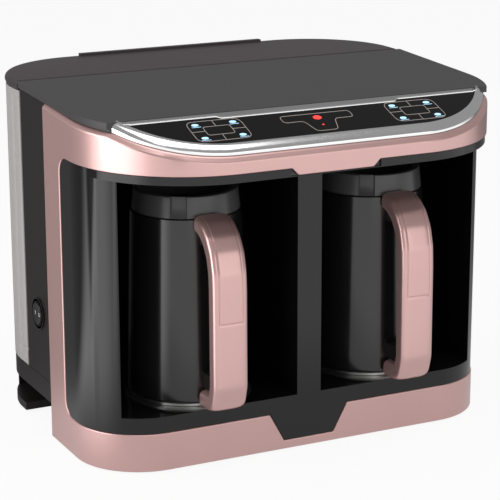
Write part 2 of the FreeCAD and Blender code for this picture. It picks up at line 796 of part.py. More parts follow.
def plate_sensor(side):
    """Sprung temperature sensor at the middle of a hotplate."""
    x = side * pot_x
    under = plate_top - plate_thickness - flange_drop
    cap = Part.makeCylinder(sensor_radius, cap_height, V(x, pot_y, plate_top - cap_height))
    flange = Part.makeCylinder(sensor_radius + flange_lap, flange_thickness, V(x, pot_y, under))
    stem = Part.makeCylinder(sensor_stem, 16.0, V(x, pot_y, plate_top - 22.0))
    return cap.fuse([flange, stem]).removeSplitter()


def sensor_holder(side):
    """Cup on the tray that guides a sensor's stem and carries its spring."""
    x = side * pot_x
    z = foot_height + floor_thickness
    cup = Part.makeCylinder(cup_radius, spring_low + cup_depth - z, V(x, pot_y, z))
    cup = cup.cut(Part.makeCylinder(cup_bore, cup_depth + 1, V(x, pot_y, spring_low)))
    return cup.cut(Part.makeCylinder(sensor_stem + sensor_fit, spring_low + cup_depth, V(x, pot_y, z))).removeSplitter()


def sensor_spring(side):
    """Compression spring between a holder and its sensor's flange."""
    x = side * pot_x
    low = spring_low + spring_wire + spring_rest
    high = plate_top - plate_thickness - flange_drop - spring_wire - spring_rest
    helix = Part.makeHelix((high - low) / spring_turns, high - low, spring_radius)
    start = helix.Edges[0].valueAt(helix.Edges[0].FirstParameter)
    tangent = helix.Edges[0].tangentAt(helix.Edges[0].FirstParameter)
    profile = Part.Wire(Part.makeCircle(spring_wire, start, tangent))
    coil = Part.Wire(helix.Edges).makePipeShell([profile], True, False)
    coil.translate(V(x, pot_y, low))
    return coil


def switch_bezel():
    """Round bezel of the rocker switch, with its body inside the side wall."""
    outer_x = -half_width + side_inset - bezel_proud
    wall_x = -half_width + side_inset
    flange = rod(bezel_radius, V(outer_x, switch_y, switch_z), V(wall_x, switch_y, switch_z))
    barrel = rod(bezel_barrel, V(wall_x, switch_y, switch_z), V(wall_x + switch_depth, switch_y, switch_z))
    back_x = wall_x + switch_depth
    terminals = [box(back_x, back_x + 7, switch_y + dy - 3, switch_y + dy - 2.2, switch_z - 3, switch_z + 3)
                 for dy in (0, 5)]
    body = flange.fuse([barrel] + terminals)
    body = body.cut(rod(bezel_bore, V(outer_x - 1, switch_y, switch_z), V(wall_x + bezel_depth, switch_y, switch_z)))
    return body.fuse(rocker_bar(rocker_pin, bezel_bore + 0.5)).removeSplitter()


def rocker_bar(radius, reach):
    """Upright bar on the rocker's axis."""
    return rod(radius, V(rocker_axis_x, switch_y, switch_z - reach), V(rocker_axis_x, switch_y, switch_z + reach))


def rocker():
    """Round rocker with its two plain marks, turning on the bezel's pin."""
    x0 = rocker_axis_x - rocker_thickness / 2
    body = rod(rocker_radius, V(x0, switch_y, switch_z), V(x0 + rocker_thickness, switch_y, switch_z))
    return body.cut(rocker_bar(rocker_pin + pin_fit, bezel_bore))


def cord_inlet():
    """Bushing in the rear wall where the mains lead enters."""
    barrel = rod(5.0 - 0.1, V(inlet_x, rear_y - 10, inlet_z), V(inlet_x, rear_y, inlet_z))
    return barrel.cut(rod(3.0, V(inlet_x, rear_y - 12, inlet_z), V(inlet_x, rear_y + 2, inlet_z)))


def cone_wall(r0, r1, z0, z1, x, y):
    """Solid cone frustum."""
    return Part.makeCone(r0, r1, z1 - z0, V(x, y, z0))


def pot_body(side):
    """Black-coated steel body of a pot, open at the top."""
    x = side * pot_x
    outer = cone_wall(pot_bottom_radius, pot_top_radius, pot_body_low, pot_body_high, x, pot_y)
    inner = cone_wall(pot_bottom_radius - pot_wall, pot_top_radius - pot_wall,
                      pot_body_low, pot_body_high, x, pot_y)
    floor = Part.makeCylinder(2 * pot_bottom_radius, pot_wall, V(x, pot_y, pot_body_low))
    return outer.cut(inner.cut(floor))


def pot_base(side):
    """Heat-spreading disc under a pot."""
    return Part.makeCylinder(disc_radius, pot_body_low - disc_low, V(side * pot_x, pot_y, disc_low))


def pot_collar(side):
    """Grey collar with a pouring notch at its front left."""
    x = side * pot_x
    low = pot_body_high
    ring = cone_wall(collar_low_radius, collar_high_radius, low, collar_high, x, pot_y)
    ring = ring.cut(Part.makeCylinder(collar_bore, collar_height + 2, V(x, pot_y, low - 1)))
    notch = box(-notch_width / 2, notch_width / 2, -collar_low_radius - 2, -collar_high_radius + notch_floor,
                notch_sill, collar_height + 1)
    notch.rotate(V(0, 0, 0), V(0, 0, 1), notch_turn)
    notch.translate(V(x, pot_y, low))
    return ring.cut(notch)


def handle_outline(inset):
    """Handle's side profile in the YZ plane, drawn in from the outer face by an inset."""
    front = handle_front_y
    top = pot_body_high
    low = pot_body_low
    return [(pot_y - pot_top_radius + 2.0, top + 5.0 - inset), (front + 26.5, top + 2.5 - inset),
            (front + 8.0 + 0.75 * inset, top - 13.0 - 0.55 * inset), (front + inset, top - 47.0),
            (front + inset, low + 16.0 + 0.6 * inset), (front + 12.5 + 0.4 * inset, low + inset),
            (pot_y - pot_bottom_radius + 0.5, low + inset)]


def strap(side, near, far, width):
    """Strap between two offsets from the handle's outer face."""
    x = side * pot_x
    points = handle_outline(near) + handle_outline(far)[::-1]
    return prism_x(points, x - width / 2, x + width / 2)


def pot_room(side, grow):
    """Space held by a pot's body, made larger by grow."""
    x = side * pot_x
    return cone_wall(pot_bottom_radius + grow, pot_top_radius + grow, pot_body_low, pot_body_high, x, pot_y).fuse(
        Part.makeCylinder(pot_top_radius + grow, 30, V(x, pot_y, pot_body_high)))


def handle_shell(side):
    """Rose strap handle, hollowed at its back for the core and at its front for the inlay."""
    x = side * pot_x
    body = strap(side, 0.0, handle_thickness, handle_width)
    body = round_edges(body, handle_round, lambda e: not along(e, V(1, 0, 0)) and is_outer(e))
    half = inlay_width / 2 + inlay_fit
    seat = box(x - half, x + half, handle_front_y - 20, handle_front_y + 40,
               inlay_low_z - inlay_fit, inlay_high_z + inlay_fit)
    seat = seat.common(strap(side, -1.0, inlay_depth, 2 * half))
    return body.cut(seat).cut(pot_room(side, gap))


def is_outer(edge):
    """True for the long edges of the strap's outer face."""
    point = edge.valueAt(0.5 * (edge.FirstParameter + edge.LastParameter))
    outer = handle_outline(0.0)
    for a, b in zip(outer[:-1], outer[1:]):
        middle = V(point.x, 0.5 * (a[0] + b[0]), 0.5 * (a[1] + b[1]))
        if middle.sub(point).Length < 0.01:
            return True
    return False


def handle_core(side):
    """Black inner lining of the handle, whose two roots meet the pot."""
    body = strap(side, handle_thickness, handle_thickness + core_thickness, handle_core_width)
    x = side * pot_x
    half = handle_core_width / 2
    high = pot_body_high + 5.0 - handle_thickness
    low = pot_body_low + handle_thickness
    roots = [box(x - half, x + half, handle_front_y + 28.5, pot_y, high - 10, high - 3),
             box(x - half, x + half, handle_front_y + 20.5, pot_y, low + 0.5, low + 11)]
    body = body.fuse(roots)
    return body.cut(pot_room(side, 0.0)).removeSplitter()


def handle_inlay(side):
    """Smooth front panel let into the handle."""
    x = side * pot_x
    block = box(x - inlay_width / 2, x + inlay_width / 2, handle_front_y - 20,
                handle_front_y + 40, inlay_low_z, inlay_high_z)
    return block.common(strap(side, 0.0, inlay_depth, inlay_width))


def base_screws():
    """Screws that fasten the front feet's tray to the hotplate posts."""
    screws = []
    for x in (-foot_x, foot_x):
        shaft = Part.makeCylinder(screw_hole - 0.05, 8.0, V(x, foot_front_y, foot_height))
        head = Part.makeCylinder(3.2, 2.0, V(x, foot_front_y, foot_height + floor_thickness))
        screws.append(shaft.fuse(head).removeSplitter())
    return Part.makeCompound(screws)


save("chassis_tray", chassis())
save("rubber_feet", rubber_feet())
save("base_screws", base_screws())
save("front_frame", front_frame())
save("fascia", fascia())
save("housing_shell", housing())
save("top_cover", top_cover())
save("tank_lid", tank_lid())
save("lid_pins", lid_pins())
save("water_tank", water_tank())
save("valve_cage", valve_cage())
save("valve_poppet", valve_poppet())
save("tank_spigot", spigot())
save("spigot_seal", spigot_seal())
save("touch_panel", touch_panel())
save("front_trim", front_trim())
save("rear_trim", rear_trim())
save("control_board", control_board())
save("power_board", power_board())
save("feed_manifold", feed_manifold())
save("switch_bezel", switch_bezel())
save("rocker", rocker())
save("cord_inlet", cord_inlet())
for side, word in ((-1, "left"), (1, "right")):
    save("pump_" + word, pump(side))
    save("pump_cradle_" + word, pump_cradle(side))
    save("intake_hose_" + word, intake_hose(side))
    save("delivery_hose_" + word, delivery_hose(side))
    save("water_spout_" + word, spout(side))
    save("foam_sensor_" + word, foam_eye(side))
    save("hotplate_" + word, hotplate(side))
    save("plate_sensor_" + word, plate_sensor(side))
    save("sensor_holder_" + word, sensor_holder(side))
    save("sensor_spring_" + word, sensor_spring(side))
    save("pot_body_" + word, pot_body(side))
    save("pot_base_" + word, pot_base(side))
    save("pot_collar_" + word, pot_collar(side))
    save("handle_shell_" + word, handle_shell(side))
    save("handle_core_" + word, handle_core(side))
    save("handle_inlay_" + word, handle_inlay(side))
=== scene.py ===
"""Looks of a twin-pot electric coffee maker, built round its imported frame."""
import logging
import math
from dataclasses import dataclass
from enum import Enum
from typing import Any, Callable, Sequence

import bmesh
import bpy
import numpy as np
from mathutils import Matrix, Vector


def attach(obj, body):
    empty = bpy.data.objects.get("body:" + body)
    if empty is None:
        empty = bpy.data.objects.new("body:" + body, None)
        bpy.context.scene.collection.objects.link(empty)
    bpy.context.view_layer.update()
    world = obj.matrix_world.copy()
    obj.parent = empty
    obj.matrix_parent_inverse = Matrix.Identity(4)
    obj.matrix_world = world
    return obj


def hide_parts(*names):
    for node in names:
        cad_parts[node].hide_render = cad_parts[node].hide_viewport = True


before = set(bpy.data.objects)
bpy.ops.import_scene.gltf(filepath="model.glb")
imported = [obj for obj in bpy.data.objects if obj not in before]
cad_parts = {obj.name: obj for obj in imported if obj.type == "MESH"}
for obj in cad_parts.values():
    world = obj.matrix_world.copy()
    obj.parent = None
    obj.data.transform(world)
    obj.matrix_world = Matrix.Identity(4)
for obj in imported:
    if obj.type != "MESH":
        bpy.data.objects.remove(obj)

log = logging.getLogger("coffee_maker")
Array = np.ndarray
Edge = Callable[[Array], Array]
Place = tuple[float, float, float]
MM = 0.001
SIDES = (("left", -1.0), ("right", 1.0))


class Axis(Enum):
    """Directions that a turned piece can stand along."""

    X = 0
    Z = 2


class Socket:
    """A node's output, with Python arithmetic that adds Math nodes."""

    def __init__(self, tree: bpy.types.NodeTree, out: bpy.types.NodeSocket) -> None:
        """Keep the tree and the output."""
        self.tree = tree
        self.out = out

    def combine(self, operation: str, first: Any, second: Any) -> "Socket":
        """Join two values in a Math node.

        Args:
            operation: Name of the Math node's operation.
            first: Socket or number.
            second: Socket or number.

        Returns:
            The result as a socket.
        """
        node = self.tree.nodes.new("ShaderNodeMath")
        node.operation = operation
        for slot, value in zip(node.inputs, (first, second)):
            if isinstance(value, Socket):
                self.tree.links.new(value.out, slot)
            else:
                slot.default_value = value
        return Socket(self.tree, node.outputs[0])

    def __add__(self, other: Any) -> "Socket":
        """Sum."""
        return self.combine("ADD", self, other)

    __radd__ = __add__

    def __sub__(self, other: Any) -> "Socket":
        """Difference."""
        return self.combine("SUBTRACT", self, other)

    def __rsub__(self, other: Any) -> "Socket":
        """Difference with the number first."""
        return self.combine("SUBTRACT", other, self)

    def __mul__(self, other: Any) -> "Socket":
        """Product."""
        return self.combine("MULTIPLY", self, other)

    __rmul__ = __mul__

    def __gt__(self, other: Any) -> "Socket":
        """One where this value is the larger."""
        return self.combine("GREATER_THAN", self, other)


class Surface:
    """A material with one Principled shader and short ways to add nodes."""

    def __init__(self, name: str) -> None:
        """Start a material of that name."""
        self.material = bpy.data.materials.new(name)
        self.material.use_nodes = True
        self.tree = self.material.node_tree
        self.shader = self.tree.nodes["Principled BSDF"]

    def node(
        self, kind: str, settings: dict[str, Any], inputs: dict[Any, Any], output: Any = 0
    ) -> Socket:
        """Add one node.

        Args:
            kind: The node's type.
            settings: Attributes, set before the inputs.
            inputs: Values or sockets by input name or number.
            output: Name or number of the output wanted.

        Returns:
            That output.
        """
        made = self.tree.nodes.new(kind)
        for key, value in settings.items():
            setattr(made, key, value)
        for key, value in inputs.items():
            if isinstance(value, Socket):
                self.tree.links.new(value.out, made.inputs[key])
            else:
                made.inputs[key].default_value = value
        return Socket(self.tree, made.outputs[output])

    def place(self, stretch: Sequence[float] = (1.0, 1.0, 1.0)) -> Socket:
        """Object coordinates, stretched along each axis."""
        coords = self.node("ShaderNodeTexCoord", {}, {}, "Object")
        return self.node("ShaderNodeMapping", {}, {"Vector": coords, "Scale": tuple(stretch)})

    def noise(self, scale: float, detail: float, stretch: Sequence[float] = (1.0, 1.0, 1.0)) -> Socket:
        """Noise over the object, between 0 and 1."""
        inputs = {"Vector": self.place(stretch), "Scale": scale, "Detail": detail}
        return self.node("ShaderNodeTexNoise", {}, inputs)

    def ramp(self, value: Socket, low: float, high: float) -> Socket:
        """Smooth step from 0 at low to 1 at high."""
        inputs = {"Value": value, "From Min": low, "From Max": high}
        return self.node("ShaderNodeMapRange", {"interpolation_type": "SMOOTHSTEP"}, inputs)

    def blend(self, share: Socket, low: Sequence[float], high: Sequence[float]) -> Socket:
        """Colour that runs from low to high with a share."""
        inputs = {0: share, 6: (*low, 1.0), 7: (*high, 1.0)}
        return self.node("ShaderNodeMix", {"data_type": "RGBA"}, inputs, 2)

    def set(self, name: str, value: Any) -> None:
        """Give one of the shader's inputs a number, a colour or a socket."""
        slot = self.shader.inputs[name]
        if isinstance(value, Socket):
            self.tree.links.new(value.out, slot)
        else:
            slot.default_value = value


@dataclass(frozen=True)
class Finish:
    """One surface finish of the coffee maker.

    The colour wanders slowly between two near shades, the roughness follows the same
    wander and a fine grain, and the grain also raises the surface through a Bump node.
    """

    name: str
    colour: tuple[float, float, float]
    roughness: float
    metallic: float = 0.0
    specular: float = 0.5
    coat: float = 0.0
    shade: float = 0.06
    wander_scale: float = 14.0
    grain_scale: float = 1800.0
    grain_height: float = 0.00002
    grain_strength: float = 0.25
    rough_spread: float = 0.05
    stretch: tuple[float, float, float] = (1.0, 1.0, 1.0)
    transmission: float = 0.0
    emission: float = 0.0

    def shades(self) -> tuple[tuple[float, ...], tuple[float, ...]]:
        """The darker and the lighter shade of the colour."""
        low = tuple(c * (1.0 - self.shade) for c in self.colour)
        high = tuple(min(c * (1.0 + self.shade), 1.0) for c in self.colour)
        return low, high

    def build(self) -> bpy.types.Material:
        """Make the material.

        Returns:
            A material whose colour, roughness and bump come from noise.
        """
        surface = Surface(self.name)
        wander = surface.noise(self.wander_scale, 3.0)
        grain = surface.noise(self.grain_scale, 2.0, self.stretch)
        surface.set("Base Color", surface.blend(wander, *self.shades()))
        spread = (wander - 0.5) * self.rough_spread + (grain - 0.5) * (0.6 * self.rough_spread)
        surface.set("Roughness", spread + self.roughness)
        surface.set("Metallic", self.metallic)
        surface.set("Specular IOR Level", self.specular)
        surface.set("Coat Weight", self.coat)
        surface.set("Coat Roughness", 0.05)
        surface.set("Transmission Weight", self.transmission)
        # Emission: the red light and the lit icons are lamps; on the grey print it is a painted glow.
        if self.emission > 0.0:
            surface.set("Emission Color", (*self.colour, 1.0))
            surface.set("Emission Strength", self.emission)
        bump = {"Strength": self.grain_strength, "Distance": self.grain_height, "Height": grain}
        surface.set("Normal", surface.node("ShaderNodeBump", {}, bump))
        return surface.material


@dataclass(frozen=True)
class BoardFinish:
    """Green circuit board with square copper tracks."""

    name: str
    colour: tuple[float, float, float]
    track: tuple[float, float, float]
    pitch: float = 260.0

    def build(self) -> bpy.types.Material:
        """Make the material from a Voronoi pattern of square cells."""
        surface = Surface(self.name)
        cells = surface.node(
            "ShaderNodeTexVoronoi",
            {"distance": "CHEBYCHEV", "feature": "F1"},
            {"Vector": surface.place(), "Scale": self.pitch},
        )
        surface.set("Base Color", surface.blend(cells > 0.42, self.colour, self.track))
        surface.set("Roughness", cells * 0.2 + 0.3)
        return surface.material


class Palette:
    """Every finish of the coffee maker, each built once when it is first used."""

    finishes = (
        Finish("rose_metal", (0.7, 0.44, 0.42), 0.3, metallic=0.7, coat=0.3, shade=0.03,
               wander_scale=9.0, grain_scale=3200.0, grain_height=0.00001, grain_strength=0.2),
        Finish("black_gloss", (0.006, 0.005, 0.005), 0.12, specular=0.5, shade=0.1,
               grain_scale=700.0, grain_height=0.000006, grain_strength=0.1, rough_spread=0.02),
        Finish("black_matte", (0.012, 0.009, 0.009), 0.42, specular=0.3, shade=0.12,
               grain_scale=2600.0, grain_height=0.00003, grain_strength=0.4),
        Finish("dark_satin", (0.05, 0.047, 0.048), 0.42, specular=0.35, shade=0.05,
               grain_scale=2400.0, grain_height=0.00003, grain_strength=0.3),
        Finish("lid_satin", (0.044, 0.033, 0.036), 0.4, specular=0.35, shade=0.05,
               grain_scale=2400.0, grain_height=0.00003, grain_strength=0.3),
        Finish("chrome", (0.9, 0.9, 0.9), 0.14, metallic=1.0, shade=0.02, grain_scale=900.0,
               grain_height=0.000008, grain_strength=0.1, rough_spread=0.03),
        Finish("brushed_trim", (0.4, 0.4, 0.4), 0.34, metallic=0.8, shade=0.08,
               grain_scale=1200.0, stretch=(0.03, 1.0, 1.0)),
        Finish("panel_glass", (0.003, 0.003, 0.003), 0.06, specular=0.17, shade=0.1,
               grain_scale=300.0, grain_height=0.000002, grain_strength=0.05, rough_spread=0.01),
        Finish("tank_clear", (0.38, 0.36, 0.36), 0.28, specular=0.4, shade=0.05,
               grain_scale=1500.0, grain_strength=0.1),
        Finish("rubber", (0.02, 0.02, 0.02), 0.75, specular=0.25, shade=0.2),
        Finish("steel", (0.56, 0.56, 0.55), 0.32, metallic=1.0, shade=0.05,
               grain_scale=900.0, stretch=(1.0, 0.04, 1.0)),
        Finish("pot_coating", (0.01, 0.009, 0.01), 0.2, metallic=0.0, specular=0.6, coat=0.3, shade=0.08,
               grain_scale=3000.0, grain_height=0.00001, grain_strength=0.2),
        Finish("collar_grey", (0.075, 0.073, 0.075), 0.3, specular=0.5, shade=0.06),
        Finish("switch_grey", (0.014, 0.014, 0.015), 0.3, specular=0.5, shade=0.06),
        Finish("silicone", (0.7, 0.7, 0.67), 0.4, shade=0.04, transmission=0.4),
        Finish("pump_plastic", (0.72, 0.7, 0.64), 0.42, shade=0.05),
        # Grey print with a faint painted glow: its emission lights lines that are no lamp.
        Finish("print_grey_painted_glow", (0.35, 0.31, 0.29), 0.4, shade=0.05, emission=0.25),
        Finish("print_blue", (0.42, 0.68, 0.92), 0.3, shade=0.05, emission=0.75),
        Finish("print_white", (0.8, 0.8, 0.8), 0.4, shade=0.03),
        Finish("red_light", (0.9, 0.04, 0.03), 0.3, shade=0.05, emission=1.2),
        BoardFinish("board", (0.02, 0.12, 0.05), (0.08, 0.22, 0.07)),
    )

    def __init__(self) -> None:
        """Index the finishes by name."""
        self.by_name = {f.name: f for f in self.finishes}
        self.built: dict[str, bpy.types.Material] = {}

    def get(self, name: str) -> bpy.types.Material:
        """The material of that name."""
        if name not in self.built:
            self.built[name] = self.by_name[name].build()
        return self.built[name]


PALETTE = Palette()


def grid_solid(name: str, points: Array, wrap_rows: bool = False) -> bpy.types.Object:
    """Closed mesh from rows of closed loops.

    Row i, column j is one vertex. Columns always close on themselves; rows close too when
    wrap_rows is set, and otherwise the first and last loops are capped.

    Args:
        name: Name of the piece.
        points: Array of shape (rows, columns, 3).
        wrap_rows: True when the last row joins the first.

    Returns:
        The piece, with its faces pointing outwards.
    """
    rows, cols = points.shape[:2]
    i = np.arange(rows if wrap_rows else rows - 1)[:, None]
    j = np.arange(cols)[None, :]
    after_i, after_j = (i + 1) % rows, (j + 1) % cols
    quads = np.stack(
        [i * cols + j, after_i * cols + j, after_i * cols + after_j, i * cols + after_j], axis=-1
    ).reshape(-1, 4)
    flat = points.reshape(-1, 3)
    a, b, c, d = (flat[quads[:, k]] for k in range(4))
    volume = np.einsum("ij,ij->i", a, np.cross(b, c) + np.cross(c, d)).sum()
    faces = quads.tolist()
    if not wrap_rows:
        faces.append(list(range(cols)))
        faces.append(list(range((rows - 1) * cols, rows * cols))[::-1])
        start, end = points[0], points[-1]
        for loop, sign in ((start, 1.0), (end, -1.0)):
            turned = np.cross(loop[1:-1] - loop[0], loop[2:] - loop[0]).sum(axis=0)
            volume += sign * float(loop[0] @ turned)
    if volume < 0.0:
        faces = [f[::-1] for f in faces]
    mesh = bpy.data.meshes.new(name)
    mesh.from_pydata(flat.tolist(), [], faces)
    mesh.validate()
    return new_piece(name, mesh)


def new_piece(name: str, mesh: bpy.types.Mesh) -> bpy.types.Object:
    """Put a mesh into the scene with smooth shading up to sharp edges."""
    piece = bpy.data.objects.new(name, mesh)
    bpy.context.scene.collection.objects.link(piece)
    mesh.shade_smooth()
    mesh.set_sharp_from_angle(angle=math.radians(32.0))
    return piece


def dress(
    piece: bpy.types.Object, finish: str, body: str, nodes: Sequence[str] = ()
) -> bpy.types.Object:
    """Give a piece its finish, slot and body, and hide the CAD nodes that it replaces.

    Args:
        piece: The piece.
        finish: Name of its finish.
        body: The body that it moves with.
        nodes: CAD nodes that it replaces.

    Returns:
        The same piece.
    """
    piece.data.materials.clear()
    piece.data.materials.append(PALETTE.get(finish))
    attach(piece, body)
    if nodes:
        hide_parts(*nodes)
    log.info("%s: %d faces on %s", piece.name, len(piece.data.polygons), body)
    return piece


def soften(piece: bpy.types.Object, width: float, segments: int = 3, angle: float = 30.0) -> None:
    """Round a piece's sharp edges with a Bevel modifier."""
    bevel = piece.modifiers.new("soft_edges", "BEVEL")
    bevel.width = width
    bevel.segments = segments
    bevel.limit_method = "ANGLE"
    bevel.angle_limit = math.radians(angle)
    bevel.harden_normals = True


def merged_copy(node: str, name: str) -> bpy.types.Object:
    """Copy a CAD node with its triangles joined and its flat faces made whole.

    Args:
        node: The CAD node.
        name: Name of the copy.

    Returns:
        A new piece at the same place.
    """
    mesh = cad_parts[node].data.copy()
    work = bmesh.new()
    work.from_mesh(mesh)
    bmesh.ops.remove_doubles(work, verts=work.verts, dist=0.00001)
    bmesh.ops.dissolve_limit(
        work, angle_limit=math.radians(1.0), verts=work.verts, edges=work.edges, delimit={"NORMAL"}
    )
    work.to_mesh(mesh)
    work.free()
    return new_piece(name, mesh)


def circle(radius: float, count: int) -> Array:
    """Points round a circle, as (count, 2)."""
    turn = np.linspace(0.0, 2.0 * math.pi, count, endpoint=False)
    return radius * np.stack([np.cos(turn), np.sin(turn)], axis=1)


def lathe(
    name: str,
    profile: Array,
    centre: Sequence[float],
    axis: Axis = Axis.Z,
    count: int = 128,
    shape: Callable[[Array, Array, Array], Array] | None = None,
) -> bpy.types.Object:
    """Turned piece: a closed profile of (radius, height) carried round an axis.

    Args:
        name: Name of the piece.
        profile: Closed loop of (radius, height) points, in metres.
        centre: Point on the axis that heights are measured from.
        axis: Axis to turn about.
        count: Stations round the turn.
        shape: Optional rule that changes the radius from (angle, radius, height).

    Returns:
        The piece.
    """
    turn = np.linspace(0.0, 2.0 * math.pi, count, endpoint=False)[:, None]
    radius = np.broadcast_to(profile[None, :, 0], (count, len(profile)))
    height = np.broadcast_to(profile[None, :, 1], (count, len(profile)))
    if shape is not None:
        radius = shape(turn, radius, height)
    across, along = radius * np.cos(turn), radius * np.sin(turn)
    if axis is Axis.Z:
        points = np.stack([across, along, height], axis=-1)
    else:
        points = np.stack([height, across, along], axis=-1)
    return grid_solid(name, points + np.asarray(centre), wrap_rows=True)


def rounded_loop(corners: Array, radii: Sequence[float], steps: int = 6) -> Array:
    """Closed 2-D loop with each corner cut by a round of tangent points.

    Args:
        corners: Corner points as (n, 2).
        radii: How far each round reaches back along its two sides.
        steps: Points on each round.

    Returns:
        The loop's points as (n * steps, 2), each round a quadratic curve.
    """
    corners = np.asarray(corners, dtype=float)
    before = np.roll(corners, 1, axis=0) - corners
    after = np.roll(corners, -1, axis=0) - corners
    before /= np.linalg.norm(before, axis=1, keepdims=True)
    after /= np.linalg.norm(after, axis=1, keepdims=True)
    reach = np.asarray(radii, dtype=float)[:, None]
    start, end = corners + before * reach, corners + after * reach
    t = np.linspace(0.0, 1.0, steps)[None, :, None]
    curve = (1 - t) ** 2 * start[:, None] + 2 * t * (1 - t) * corners[:, None] + t**2 * end[:, None]
    return curve.reshape(-1, 2)


@dataclass(frozen=True)
class PlanCurve:
    """Plan of the head or base: a straight front with round corners and straight sides."""

    half: float
    front: float
    corner: float

    def trace(self, rear: float, inset: float = 0.0, arc_steps: int = 64) -> tuple[Array, Array]:
        """Follow the plan from its left rear round the front to its right rear.

        Args:
            rear: Y where both sides end.
            inset: Distance inwards from the outer plan.
            arc_steps: Points on each corner.

        Returns:
            Points and inward normals, both as (n, 2).
        """
        cx, cy = self.half - self.corner, self.front + self.corner
        lift = max(rear - cy, 0.0)
        low = math.asin(min(max((cy - rear) / (self.corner - inset), 0.0), 1.0))
        turn = np.linspace(math.pi + low, 1.5 * math.pi, arc_steps)
        left_n = np.stack([-np.cos(turn), -np.sin(turn)], axis=1)
        left = np.array([-cx, cy]) - left_n * (self.corner - inset)
        flat_x = np.linspace(-cx, cx, 40)[1:-1]
        flat = np.stack([flat_x, np.full_like(flat_x, self.front + inset)], axis=1)
        flat_n = np.tile([0.0, 1.0], (len(flat), 1))
        right, right_n = left[::-1] * [-1.0, 1.0], left_n[::-1] * [-1.0, 1.0]
        points, normals = [left, flat, right], [left_n, flat_n, right_n]
        if lift > 0.0:
            side_y = np.linspace(rear, cy, 14)[:-1]
            side = np.stack([np.full_like(side_y, -self.half + inset), side_y], axis=1)
            side_n = np.tile([1.0, 0.0], (len(side), 1))
            points = [side, *points, side[::-1] * [-1.0, 1.0]]
            normals = [side_n, *normals, side_n[::-1] * [-1.0, 1.0]]
        return np.concatenate(points), np.concatenate(normals)


HEAD = PlanCurve(160.0 * MM, -138.0 * MM, 88.0 * MM)


@dataclass(frozen=True)
class HeadPlanes:
    """The sloping planes that shape the head."""

    side_top: float = 248.8 * MM
    side_slope: float = 0.06
    nose_top: float = 274.92 * MM
    nose_slope: float = 0.34
    panel_y: float = -92.0 * MM
    panel_z: float = 250.168 * MM
    panel_slope: float = 0.36

    def band(self, y: Array) -> Array:
        """Height of the rose band's top edge: the lower of a gentle plane and a steep one."""
        return np.minimum(self.side_top + self.side_slope * y, self.nose_top + self.nose_slope * y)

    def panel(self, y: Array) -> Array:
        """Height of the control panel's face."""
        return self.panel_z + self.panel_slope * (y - self.panel_y)


PLANES = HeadPlanes()


@dataclass
class Casing:
    """Outer shells that keep their CAD shape and get soft edges."""

    shells: tuple[tuple[str, str, float], ...] = (
        ("front_frame", "rose_metal", 0.8),
        ("fascia", "black_gloss", 0.8),
        ("housing_shell", "black_matte", 0.5),
        ("chassis_tray", "black_matte", 1.0),
        ("top_cover", "dark_satin", 0.9),
    )

    def build(self) -> None:
        """Copy each shell, join its triangles and round its edges."""
        for node, finish, width in self.shells:
            piece = merged_copy(node, node + "_skin")
            soften(piece, width * MM)
            dress(piece, finish, "root", [node])


@dataclass
class FrontTrim:
    """Bright strip that falls in a soft curve from the glass towards the rose band."""

    outer_inset: float = 3.3 * MM
    inner_inset: float = 9.1 * MM
    rear: float = -92.4 * MM
    fall: float = 3.4 * MM
    curve: float = 2.2
    seat: float = 0.3 * MM

    def build(self) -> None:
        """Carry the strip's section along the head's plan.

        At a share s from the outer edge to the inner one, the surface lies below the
        panel's plane by fall * (1 - s) ** curve, and its underside by the same plane at
        the band's edge.
        """
        points, normals = HEAD.trace(self.rear, self.outer_inset, 96)
        share = np.linspace(0.0, 1.0, 15)
        spread = self.inner_inset - self.outer_inset
        plan = points[:, None, :] + normals[:, None, :] * (share * spread)[None, :, None]
        y = plan[..., 1]
        rise = PLANES.panel(y) - self.fall * (1.0 - share[None, :]) ** self.curve
        top = np.concatenate([plan, rise[..., None]], axis=-1)
        under = top[:, ::-1].copy()
        under[..., 2] = PLANES.band(under[..., 1]) + self.seat
        strip = grid_solid("front_trim_strip", np.concatenate([top, under], axis=1))
        soften(strip, 0.3 * MM)
        dress(strip, "chrome", "root", ["front_trim"])


